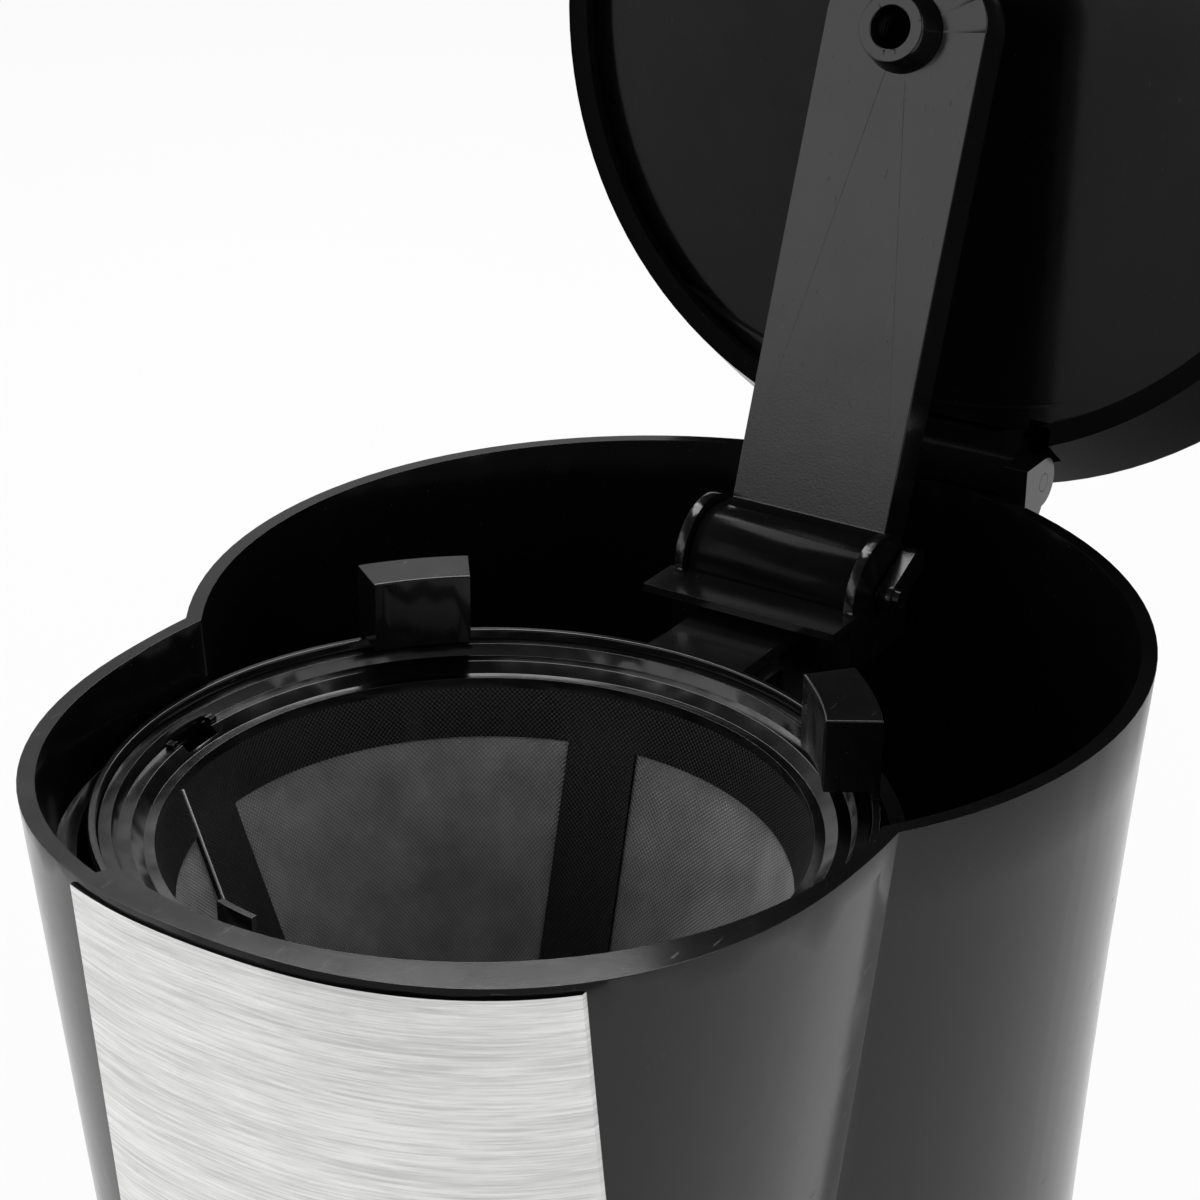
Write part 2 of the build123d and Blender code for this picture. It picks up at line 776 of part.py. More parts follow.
def arm_bounds(inset):
    y0 = ARM_Y - ARM_REACH - ARM_TIP + inset
    z0 = ARM_Z + ARM_LIFT
    return block(-ARM_HALF + inset, ARM_HALF - inset, y0, ARM_Y - inset, z0 + inset, z0 + ARM_T)


def arm_groove():
    """Hollow of the trough, round at its tip."""
    groove = arm_bounds(ARM_SKIN)
    return fillet(groove.edges().filter_by(Axis.Z).group_by(Axis.Y)[0], ARM_TIP - 2 - ARM_SKIN)


def arm_hub():
    return rod_x(DRUM_R, -DRUM_HALF, DRUM_HALF, ARM_Y, ARM_Z)


def arm_channel():
    """Trough of the water arm with the drum that it turns on and the flat ledge above the drum."""
    trough = fillet(arm_bounds(0).edges().filter_by(Axis.Z).group_by(Axis.Y)[0], ARM_TIP - 2)
    channel = trough + arm_hub() - arm_groove()
    top = ARM_Z + ARM_LIFT + ARM_T
    channel = raised(channel - drum(NOZZLE_R / 2, ARM_Z, top, 0, BOWL_Y))
    crest = ARM_Z + DRUM_R - LEDGE_SINK
    ledge = block(-ARM_HALF, ARM_HALF, ARM_Y, ARM_Y + LEDGE_DEPTH, crest - LEDGE_H, crest)
    return channel + ledge - rod_x(PIN_R, -SPAN, SPAN, ARM_Y, ARM_Z)


def arm_cover():
    """Lid of the trough, let into its open side."""
    top = ARM_Z + ARM_LIFT + ARM_T
    return raised((arm_groove() & slab(top - ARM_SKIN, top)) - arm_hub())


def arm_nozzle():
    z1 = ARM_Z + ARM_LIFT
    cup = frustum(NOZZLE_R - NOZZLE_TAPER, NOZZLE_R, z1 - NOZZLE_L, z1, 0, BOWL_Y)
    return raised(cup - drum(NOZZLE_R / 2, z1 - NOZZLE_L - 1, z1 + 1, 0, BOWL_Y))


def arm_pin():
    left = CHEEK_X + CHEEK_T + PIN_PROUD
    right = CHEEK_X + CHEEK_T + HINGE_SIDE_GAP + LEVER_T + PIN_PROUD
    return rod_x(PIN_R, -left, right, ARM_Y, ARM_Z)


def arm_lever():
    """Crank on the right end of the arm's pin."""
    x0 = CHEEK_X + CHEEK_T + HINGE_SIDE_GAP
    x1 = x0 + LEVER_T
    bar = block(x0, x1, ARM_Y, ARM_Y + LEVER_L, ARM_Z - LEVER_W / 2, ARM_Z + LEVER_W / 2)
    ends = [rod_x(LEVER_W / 2, x0, x1, y, ARM_Z) for y in (ARM_Y, ARM_Y + LEVER_L)]
    lever = (bar + ends[0] + ends[1]).rotate(Axis((0, ARM_Y, ARM_Z), (1, 0, 0)), LEVER_TILT)
    return lever - rod_x(PIN_R, -SPAN, SPAN, ARM_Y, ARM_Z)


def opened(shape):
    """Swing a piece of the lid from closed to its stop."""
    return shape.rotate(Axis((0, HINGE_Y, HINGE_Z), (1, 0, 0)), -LID_OPEN)


def lid_profile(inset, crown):
    """Lid side: flared wall, then a rounded edge to the crown, moved in by inset."""
    z0 = RIM_Z + LID_GAP
    z1 = RIM_Z + LID_FLARE_H
    profile = [(-inset, z0), (LID_FLARE - inset, z1)]
    for turn in (30, 60, 90):
        in_by = LID_ROUND * (1 - cos(radians(turn)))
        up_by = (crown - z1) * sin(radians(turn))
        profile.append((LID_FLARE - inset - in_by, z1 + up_by))
    return profile


def lid_crown():
    return RIM_Z + LID_FLARE_H + LID_CROWN_H


def lug_notch(side):
    x0 = side * (LUG_X[side] - HINGE_SIDE_GAP)
    x1 = side * (LUG_X[side] + LUG_T + HINGE_SIDE_GAP)
    front = HINGE_Y - LUG_ROOT[side] - LUG_NOTCH
    top = HINGE_Z + LUG_R + 2 * HINGE_SIDE_GAP
    return block(min(x0, x1), max(x0, x1), front, SPAN, RIM_Z - 1, top)


def knuckle_ends(extra):
    """Left and right end of the lid's knuckle between the lugs, made longer by extra."""
    return HINGE_SIDE_GAP - LUG_X[-1] - extra, LUG_X[1] - HINGE_SIDE_GAP + extra


def lid_shell():
    outer = two_lobes(lid_profile(0, lid_crown()))
    inner = two_lobes(lid_profile(LID_WALL, lid_crown() - LID_WALL))
    bottom = RIM_Z + LID_GAP
    lip_top = bottom + LID_LIP_H
    lip = two_lobes([(-LID_LIP, bottom - 1), (-LID_LIP, lip_top + 1)])
    lid = outer - (inner & slab(lip_top, SPAN)) - lip
    left, right = knuckle_ends(0)
    root = HINGE_Y - KNUCKLE_R - KNUCKLE_ROOT
    web = block(left, right, root, HINGE_Y, bottom, HINGE_Z + KNUCKLE_R)
    lid = lid + web + rod_x(KNUCKLE_R, left, right, HINGE_Y, HINGE_Z)
    for side in (-1, 1):
        lid = lid - lug_notch(side)
    return opened(lid - rod_x(HINGE_PIN_R, -SPAN, SPAN, HINGE_Y, HINGE_Z))


def lid_liner():
    """Flat inner face of the lid with a raised land along its hinge side."""
    low = RIM_Z + LINER_RISE
    share = (LINER_RISE - LID_GAP) / (LID_FLARE_H - LID_GAP)
    edge = LID_FLARE * share - LID_WALL - LINER_GAP
    liner = two_lobes([(edge, low - LAND_T), (edge, low + LINER_T)])
    liner = liner - drum(LAND_R, low - LAND_T - 1, low, 0, LAND_BACK - LAND_R)
    left, right = knuckle_ends(LINER_GAP)
    root = HINGE_Y - KNUCKLE_R - KNUCKLE_ROOT - LINER_GAP
    liner = liner - block(left, right, root, SPAN, RIM_Z, low + LINER_T + 1)
    for side in (-1, 1):
        liner = liner - lug_notch(side)
    return opened(liner)


def lid_hinge_pins():
    pins = []
    for side in (-1, 1):
        x0 = side * (LUG_X[side] - HINGE_PIN_IN)
        x1 = side * (LUG_X[side] + LUG_T)
        pins.append(rod_x(HINGE_PIN_R, min(x0, x1), max(x0, x1), HINGE_Y, HINGE_Z))
    return Compound(children=pins)


def basket_floor():
    return BAY_Z + WALL + BASKET_FOOT


def arc_block(r0, r1, centre_angle, span, z0, z1):
    """Part of a ring about the bowl's axis, between two radii and two heights."""
    points = [(r0, z0), (r1, z0), (r1, z1), (r0, z1)]
    outline = make_face(Polyline(*[(r, 0, z) for r, z in points], close=True))
    ring = revolve(outline, Axis.Z, span)
    return Pos(0, BOWL_Y, 0) * Rot(0, 0, centre_angle - span / 2) * ring


def filter_basket():
    floor = basket_floor()
    top = BASKET_TOP
    flange_in = BASKET_R - FLANGE_W
    seat = filter_seat()
    points = [
        (VALVE_HOLE_R, floor),
        (BASKET_FLOOR_R - BASKET_WALL, floor),
        (BASKET_FLOOR_R - BASKET_WALL, floor - BASKET_FOOT),
        (BASKET_FLOOR_R, floor - BASKET_FOOT),
        (BASKET_FLOOR_R + BASKET_WALL, floor),
        (flange_in + BASKET_WALL, top - FLANGE_T),
        (BASKET_R, top - FLANGE_T),
        (BASKET_R, top + LIP_H),
        (BASKET_R - LIP_W, top + LIP_H),
        (BASKET_R - LIP_W, seat),
        (flange_in, seat),
        (BASKET_FLOOR_R, floor + BASKET_WALL),
        (VALVE_HOLE_R, floor + BASKET_WALL),
    ]
    basket = turned(points, BOWL_Y)
    for angle in TAB_ANGLES:
        foot = arc_block(BASKET_R - LIP_W, BASKET_R, angle, TAB_SPAN, top - FLANGE_T, RIM_Z)
        inner = BASKET_R - TAB_DEPTH
        head = arc_block(inner, BASKET_R, angle, TAB_SPAN, top + TAB_FOOT, RIM_Z + TAB_RISE)
        basket = basket + foot + head
    return basket


def filter_seat():
    return BASKET_TOP - SEAT_DROP


def filter_outer():
    return BASKET_R - LIP_W - SEAT_GAP


def step_outer():
    """Radius where the step below the filter's top ring begins."""
    return filter_outer() - RING_W - STEP_SLOPE


def throat_outer():
    return step_outer() - STEP_W - THROAT_SLOPE


def throat():
    """Clear radius of the filter's mouth."""
    return throat_outer() - THROAT_W


def step_top():
    return filter_seat() + RING_H - STEP_DROP


def throat_top():
    return step_top() - THROAT_DROP


def cone_top():
    return throat_top() - THROAT_LIP


def filter_floor():
    return basket_floor() + BASKET_WALL + FILTER_FLOOR_GAP


def filter_cone(out_by, in_by):
    """Conical wall of the filter between two offsets from its middle surface."""
    z0 = filter_floor()
    z1 = cone_top()
    r0 = FILTER_FLOOR_R
    r1 = throat() + FILTER_T / 2
    return turned([(r0 - in_by, z0), (r0 + out_by, z0), (r1 + out_by, z1), (r1 - in_by, z1)], BOWL_Y)


def filter_ribs():
    """Sectors of the filter's wall that stay solid."""
    ribs = []
    for i in range(FILTER_RIBS):
        bar = block(0, SPAN, -RIB_W / 2, RIB_W / 2, filter_floor(), filter_seat())
        turn = RIB_TURN + i * 360.0 / FILTER_RIBS
        ribs.append(Pos(0, BOWL_Y, 0) * Rot(0, 0, turn) * bar)
    return ribs


def filter_collar():
    """Height band of the filter's wall that stays solid under the ring."""
    return slab(cone_top() - FILTER_COLLAR_H, cone_top() + 1)


def filter_rings():
    """Stepped mouth of the filter: top ring, step and throat, from outside to inside."""
    seat = filter_seat()
    outer = filter_outer()
    land = outer - RING_W
    step_in = throat_outer() + THROAT_SLOPE
    under = step_top() - RING_T
    points = [
        (outer, seat),
        (outer, seat + RING_H),
        (land, seat + RING_H),
        (step_outer(), step_top()),
        (step_in, step_top()),
        (throat_outer(), throat_top()),
        (throat(), throat_top()),
        (throat(), cone_top()),
        (throat() + FILTER_T, cone_top()),
        (step_in + UNDER_OUT, under),
        (land, under),
        (land + UNDER_OUT, seat),
    ]
    return turned(points, BOWL_Y)


def filter_frame():
    """Stepped rings with a thumb notch, solid collar and ribs, closed floor and a lifting tab."""
    top = filter_seat() + RING_H
    under = step_top() - RING_T
    wall = filter_cone(FILTER_T / 2, FILTER_T / 2)
    frame = filter_rings() + (wall & filter_collar())
    for bar in filter_ribs():
        frame = frame + (wall & bar)
    floor_r = FILTER_FLOOR_R + FILTER_T / 2
    frame = frame + drum(floor_r, filter_floor() - FILTER_T, filter_floor(), 0, BOWL_Y)
    notch_in = throat_outer() + UNDER_OUT
    notch_out = step_outer() + NOTCH_LAND
    frame = frame - arc_block(notch_in, notch_out, NOTCH_ANGLE, NOTCH_SPAN, under - 1, top + 1)
    for side in (-1, 1):
        angle = NOTCH_ANGLE + side * ((NOTCH_SPAN + LUMP_SPAN) / 2 + LUMP_OFF)
        lump_in = notch_in + THROAT_SLOPE
        lump_out = step_outer() - NOTCH_LAND
        z0 = step_top() - RING_T / 2
        z1 = step_top() + LUMP_RISE
        frame = frame + arc_block(lump_in, lump_out, angle, LUMP_SPAN, z0, z1)
    tab_top = top + FILTER_TAB_RISE
    tab_foot = throat_top() - THROAT_LIP / 2
    tab_in = throat() + FILTER_TAB_IN
    tab_out = throat_outer() - FILTER_TAB_IN
    tab = arc_block(tab_in, tab_out, FILTER_TAB_ANGLE, FILTER_TAB_SPAN, tab_foot, tab_top)
    return frame + tab


def filter_mesh():
    mesh = filter_cone(MESH_T / 2, MESH_T / 2) - filter_collar()
    for bar in filter_ribs():
        mesh = mesh - bar
    return mesh


def jug_top():
    return BAY_Z - JUG_TOP_GAP


def valve_tip():
    """Underside of the plunger while the jug holds it up."""
    return BAY_Z - VALVE_CLEAR - VALVE_FOOT_T


def valve_plunger():
    head = basket_floor() + BASKET_WALL + VALVE_LIFT + VALVE_GAP + VALVE_SEAL_T
    tip = valve_tip()
    stem = drum(VALVE_STEM_R, tip, head + VALVE_HEAD_T, 0, BOWL_Y)
    foot = drum(VALVE_FOOT_R, tip, tip + VALVE_FOOT_T, 0, BOWL_Y)
    return stem + foot + drum(VALVE_HEAD_R, head, head + VALVE_HEAD_T, 0, BOWL_Y)


def valve_seal():
    z1 = basket_floor() + BASKET_WALL + VALVE_LIFT + VALVE_GAP + VALVE_SEAL_T
    ring = drum(VALVE_HEAD_R, z1 - VALVE_SEAL_T, z1, 0, BOWL_Y)
    return ring - drum(VALVE_STEM_R, z1 - VALVE_SEAL_T - 1, z1 + 1, 0, BOWL_Y)


def valve_spring():
    """Wire spring between the basket's floor and the plunger's foot, held short by the jug."""
    z0 = valve_tip() + VALVE_FOOT_T + SPRING_WIRE + SPRING_GAP
    z1 = basket_floor() - SPRING_WIRE - SPRING_TOP_GAP
    coil = Helix((z1 - z0) / SPRING_TURNS, z1 - z0, SPRING_R)
    section = Plane(origin=coil @ 0, z_dir=coil % 0) * Circle(SPRING_WIRE)
    return Pos(0, BOWL_Y, z0) * sweep(section, path=coil, is_frenet=True)


def jug_outline(inset):
    """Jug side from foot to lip as one smooth curve, moved in by inset."""
    z0 = plate_top() + JUG_GAP
    return Spline(
        (JUG_FOOT_R - inset, 0, z0 + inset),
        (JUG_BELLY_R - inset, 0, z0 + JUG_BELLY_H),
        (JUG_NECK_R - inset, 0, jug_top() - JUG_NECK_DROP),
        (JUG_LIP_R - inset, 0, jug_top()),
    )


def jug_solid(inset):
    side = jug_outline(inset)
    base = plate_top() + JUG_GAP + inset
    top = jug_top()
    lip = (JUG_LIP_R - inset, 0, top)
    foot = (JUG_FOOT_R - inset, 0, base)
    rest = Polyline(lip, (0, 0, top), (0, 0, base), foot)
    return Pos(0, BOWL_Y, 0) * revolve(make_face([side, rest]), Axis.Z)


def jug_glass():
    return jug_solid(0) - jug_solid(GLASS_T)


def band_bounds():
    z1 = jug_top() - JUG_NECK_DROP + BAND_H / 2
    return z1 - BAND_H, z1


def band_radius():
    return JUG_NECK_R + BAND_STAND + BAND_T


def jug_band():
    z0, z1 = band_bounds()
    return (drum(band_radius(), z0, z1, 0, BOWL_Y) - jug_solid(0)) & slab(z0, z1)


def handle_route():
    z0, z1 = band_bounds()
    z = (z0 + z1) / 2
    root = BOWL_Y - band_radius()
    out = BOWL_Y - JUG_BELLY_R - HANDLE_OUT + HANDLE_T
    low = plate_top() + HANDLE_FOOT
    return [(0, root, z), (0, out, z), (0, out, low), (0, out + HANDLE_TAIL, low - HANDLE_TAIL_DROP)]


def jug_handle():
    route = FilletPolyline(*handle_route(), radius=HANDLE_BEND)
    start = Plane(origin=route @ 0, x_dir=(1, 0, 0), z_dir=route % 0)
    handle = sweep(start * RectangleRounded(HANDLE_W, HANDLE_T, HANDLE_T * HANDLE_ROUND), path=route)
    z0, z1 = band_bounds()
    root = BOWL_Y - band_radius()
    half = HANDLE_W / 2
    handle = handle + block(-half, half, root - HANDLE_PAD, root + HANDLE_PAD, z0, z1)
    handle = handle - drum(band_radius(), z0 - SPAN / 4, z1 + SPAN / 4, 0, BOWL_Y)
    return handle - rod_y(SCREW_R, 0, root - SCREW_L, BOWL_Y, (z0 + z1) / 2)


def handle_screw():
    z0, z1 = band_bounds()
    root = BOWL_Y - band_radius()
    return rod_y(SCREW_R, 0, root - SCREW_L, root, (z0 + z1) / 2)


def jug_lid():
    """Brew-through lid that drops into the jug's neck and turns."""
    seat = jug_top() + JUG_LID_GAP
    top = valve_tip() - VALVE_CLEAR
    rim = JUG_LIP_R
    plug = JUG_NECK_R - GLASS_T - JUG_LID_PLUG_GAP
    bore = plug - JUG_LID_PLUG_WALL
    points = [
        (JUG_LID_HOLE, top - JUG_LID_DOME - JUG_LID_T),
        (bore, seat),
        (bore, seat - JUG_LID_PLUG),
        (plug, seat - JUG_LID_PLUG),
        (plug, seat),
        (rim, seat),
        (rim, seat + JUG_LID_T),
        (rim - JUG_LID_STEP, seat + JUG_LID_T + JUG_LID_STEP_H),
        (JUG_LID_DISH, top),
        (JUG_LID_HOLE, top - JUG_LID_DOME),
    ]
    lid = turned(points, BOWL_Y)
    half = JUG_LID_TAB_W / 2
    front = BOWL_Y - rim
    tab = block(-half, half, front - JUG_LID_TAB, front + 2, seat, seat + JUG_LID_T)
    return lid + fillet(tab.edges().filter_by(Axis.Z).group_by(Axis.Y)[0], JUG_LID_TAB_W / 3)


def base_front():
    """Front of the base at the switch's height, on the middle line."""
    top = COLUMN_R + BASE_STEP - REAR_R
    share = (SWITCH_Z - BASE_Z) / (BASE_H - BASE_ROUND)
    return BOWL_Y - FRONT_Y - top - BASE_FLARE * (1 - share)


def bezel_block():
    middle = base_front() - BEZEL_PROUD + BEZEL_T / 2
    return Pos(0, middle, SWITCH_Z) * Box(BEZEL_W, BEZEL_T, BEZEL_H)


def rocker_y():
    return base_front() - BEZEL_PROUD + ROCKER_SET


def rocker_window(extra):
    half = ROCKER_W / 2 + extra
    high = ROCKER_R + extra
    back = base_front() + SWITCH_DEPTH - SWITCH_FLOOR
    return block(-half, half, -SPAN, back, SWITCH_Z - high, SWITCH_Z + high)


def switch_bezel():
    return bezel_block() - rocker_window(ROCKER_GAP)


def switch_block():
    back = base_front() - BEZEL_PROUD + BEZEL_T
    half = ROCKER_W / 2 + SWITCH_WALL
    high = ROCKER_R + SWITCH_WALL
    return block(-half, half, back, back + SWITCH_DEPTH, SWITCH_Z - high, SWITCH_Z + high)


def switch_body():
    return switch_block() - rocker_window(ROCKER_GAP)


def rocker():
    """Round-backed key with two flat faces, tilted to its off side."""
    key = rod_x(ROCKER_R, -ROCKER_W / 2, ROCKER_W / 2, rocker_y(), SWITCH_Z)
    front = rocker_y() - ROCKER_R
    for side in (-1, 1):
        cut = block(-SPAN, SPAN, front - ROCKER_CUT, front, SWITCH_Z - SPAN, SWITCH_Z + SPAN)
        ridge = Axis((0, front + ROCKER_RIDGE, SWITCH_Z), (1, 0, 0))
        key = key - cut.rotate(ridge, side * ROCKER_FACE)
    return key.rotate(Axis((0, rocker_y(), SWITCH_Z), (1, 0, 0)), -ROCKER_TILT)


def lamp_lens():
    front = base_front() + LAMP_SET
    lens = rod_y(LAMP_R, LAMP_X, front - LAMP_PROUD, front + LAMP_L, SWITCH_Z)
    return fillet(lens.edges().group_by(Axis.Y)[0], LAMP_R / 2)


def gland_wall():
    top = COLUMN_R + BASE_STEP
    share = (GLAND_Z - BASE_Z) / (BASE_H - BASE_ROUND)
    return REAR_Y + top + BASE_FLARE * (1 - share)


def cord_gland():
    wall = gland_wall()
    gland = rod_y(GLAND_R, 0, wall - WALL - GLAND_INSIDE, wall + GLAND_OUTSIDE, GLAND_Z)
    flange = wall + GLAND_STAND
    gland = gland + rod_y(GLAND_FLANGE, 0, flange, flange + GLAND_FLANGE_T, GLAND_Z)
    return gland - rod_y(CORD_R, 0, wall - SPAN, wall + SPAN, GLAND_Z)


def terminal_block():
    z0 = BASE_Z + COVER_T
    y0 = REAR_Y + COLUMN_R / 2
    body = block(-TERMINAL_W / 2, TERMINAL_W / 2, y0, y0 + TERMINAL_D, z0, z0 + TERMINAL_H)
    for x in (-TERMINAL_W / 3, 0, TERMINAL_W / 3):
        top = z0 + TERMINAL_H
        body = body - drum(TERMINAL_HOLE_R, top - TERMINAL_HOLE_H, top + 1, x, y0 + TERMINAL_D / 2)
    return body


PIECES = {
    "body_shell": body_shell,
    "column_shell": column_shell,
    "base_shell": base_shell,
    "bottom_cover": bottom_cover,
    "cover_screws": cover_screws,
    "rubber_feet": rubber_feet,
    "front_panel": front_panel,
    "hot_plate": hot_plate,
    "hot_plate_seal": hot_plate_seal,
    "heater_tube": heater_tube,
    "heater_strap": heater_strap,
    "strap_screw": strap_screw,
    "thermostat": thermostat,
    "thermal_fuse": thermal_fuse,
    "check_valve": check_valve,
    "cold_hose": lambda: hose(cold_hose_points()),
    "hot_hose": lambda: hose(hot_hose_points()),
    "hose_clamps": hose_clamps,
    "riser_tube": riser_tube,
    "riser_grommet": riser_grommet,
    "arm_bracket": arm_bracket,
    "bracket_screws": bracket_screws,
    "filter_basket": filter_basket,
    "filter_frame": filter_frame,
    "filter_mesh": filter_mesh,
    "valve_spring": valve_spring,
    "switch_bezel": switch_bezel,
    "switch_body": switch_body,
    "lamp_lens": lamp_lens,
    "cord_gland": cord_gland,
    "terminal_block": terminal_block,
    "lid_shell": lid_shell,
    "lid_liner": lid_liner,
    "lid_hinge_pins": lid_hinge_pins,
    "arm_channel": arm_channel,
    "arm_cover": arm_cover,
    "arm_nozzle": arm_nozzle,
    "arm_pin": arm_pin,
    "arm_lever": arm_lever,
    "jug_glass": jug_glass,
    "jug_band": jug_band,
    "jug_handle": jug_handle,
    "handle_screw": handle_screw,
    "jug_lid": jug_lid,
    "valve_plunger": valve_plunger,
    "valve_seal": valve_seal,
    "rocker": rocker,
}

os.makedirs("parts", exist_ok=True)
for name, make in PIECES.items():
    export_step(make(), f"parts/{name}.step")
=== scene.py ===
import json
from math import cos, sin, radians, pi
import bmesh
import bpy
from mathutils import Matrix, Vector


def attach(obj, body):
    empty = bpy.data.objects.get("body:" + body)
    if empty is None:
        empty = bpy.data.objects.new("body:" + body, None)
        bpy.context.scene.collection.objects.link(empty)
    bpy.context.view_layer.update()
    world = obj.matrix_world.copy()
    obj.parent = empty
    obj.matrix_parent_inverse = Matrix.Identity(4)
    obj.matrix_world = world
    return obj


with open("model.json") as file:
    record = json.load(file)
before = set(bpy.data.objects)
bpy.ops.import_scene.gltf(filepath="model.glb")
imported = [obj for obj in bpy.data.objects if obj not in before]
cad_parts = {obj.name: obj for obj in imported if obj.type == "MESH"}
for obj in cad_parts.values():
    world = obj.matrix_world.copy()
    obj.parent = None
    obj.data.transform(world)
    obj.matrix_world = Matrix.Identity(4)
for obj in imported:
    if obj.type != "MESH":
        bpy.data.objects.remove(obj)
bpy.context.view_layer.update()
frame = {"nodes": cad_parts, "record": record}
NODES = frame["nodes"]
MM = 0.001

# Values shared with the solids, millimetres
BOWL_Y = -51.5
REAR_Y = 7.0
CONE_TOP = 287.5
CONE_TOP_R = 54.35
CONE_FLOOR = 220.0
CONE_FLOOR_R = 31.0
ARM_Y = 52.0
ARM_Z = 296.5
DRUM_R = 9.8
HINGE_Y = 93.9
HINGE_Z = 307.8
LID_OPEN = 100.0
LID_WALL_H = 17.6
LID_FACE = 2.4
LAND_R = 118.0
LAND_BACK = 83.0
LOBES_MEET = -33.0
INSIDE_SCALE = 8.0
SWITCH_Y = -120.94
SWITCH_Z = 32.0
KEY_R = 7.5
JUG_SIDE = [
    (74.69, 61.72), (80.93, 62.99), (87.29, 63.42), (93.66, 63.07), (99.96, 62.09),
    (106.17, 60.62), (112.28, 58.8), (118.32, 56.74), (124.31, 54.55), (130.29, 52.33),
]

# Camera: the photograph's viewing angle
VIEW_TURN = 32.0
VIEW_RISE = 24.84
VIEW_ROLL = 0.65
VIEW_DISTANCE = 540.4
VIEW_AIM = (-13.5, 5.0, 305.0)
FOCAL_PIXELS = 3000.0
IMAGE_PIXELS = 1200.0
SENSOR = 36.0
CLIP = (0.02, 50.0)

# Studio: floor and lamps in metres, room brightness by height
FLOOR_Z = -0.0006
FLOOR_OUTLINE = [(-20, -0.5), (20, -0.5), (20, 40), (-20, 40)]
FLOOR_WHITE = 0.85
FLOOR_GLOSS = 0.5
ROOM_SIDES = [
    (0.0, 0.4), (0.29, 0.95), (0.435, 0.8), (0.5, 1.0),
    (0.585, 0.75), (0.71, 0.42), (0.87, 0.08), (1.0, 0.06),
]
ROOM_FRONT = [(0.0, 0.25), (0.29, 0.24), (0.435, 0.26), (0.5, 0.3), (0.71, 0.36), (0.87, 0.08), (1.0, 0.06)]
FRONT_SHARE = [(0.1, 0.0), (0.5, 1.0)]
LAMPS = [
    ("top", (-0.7, 0.9, 2.0), (0.0, 0.0, 0.3), (1.6, 1.6), 42),
    ("left", (-0.95, -1.45, 1.04), (0.0, 0.0, 0.36), (1.6, 0.7), 4.6),
    ("right", (1.9, -0.2, 1.2), (0.0, 0.0, 0.25), (1.0, 1.0), 4),
]

# Shared values of the finishes: noise scales per metre, heights in metres
HALF = 0.5
EDGE_WEAR = 0.35
SPECK_SCALE = 2400
SPECK_TONE = 0.12
HAIR_SCALE = (1500, 160, 420)
SCRATCH_SCALE = (900, 120, 900)
GRAIN_HEIGHT = 0.0002
# Tone of the painted shade on the metal's up-facing cut edges
CUT_EDGE_SHADE_TONE = 0.06
LENS_DARK = (0.30, 0.012, 0.008, 1)
LENS_BRIGHT = (0.62, 0.04, 0.02, 1)

scene = bpy.context.scene
scene.view_settings.view_transform = "Standard"


def mm(*values):
    """Place in metres from millimetres."""
    return Vector(values) * MM


def place_camera():
    """Camera on the photograph's line of sight."""
    turn, rise, roll = radians(VIEW_TURN), radians(VIEW_RISE), radians(VIEW_ROLL)
    back = Vector((sin(turn) * cos(rise), -cos(turn) * cos(rise), sin(rise)))
    right = Vector((cos(turn), sin(turn), 0))
    up = back.cross(right)
    tilted_right = cos(roll) * right + sin(roll) * up
    tilted_up = cos(roll) * up - sin(roll) * right
    data = bpy.data.cameras.new("camera")
    data.sensor_width = SENSOR
    data.lens = FOCAL_PIXELS / IMAGE_PIXELS * SENSOR
    data.clip_start, data.clip_end = CLIP
    camera = bpy.data.objects.new("camera", data)
    scene.collection.objects.link(camera)
    axes = Matrix((tilted_right, tilted_up, back)).transposed().to_4x4()
    camera.matrix_world = Matrix.Translation(mm(*VIEW_AIM) + back * VIEW_DISTANCE * MM) @ axes
    scene.camera = camera


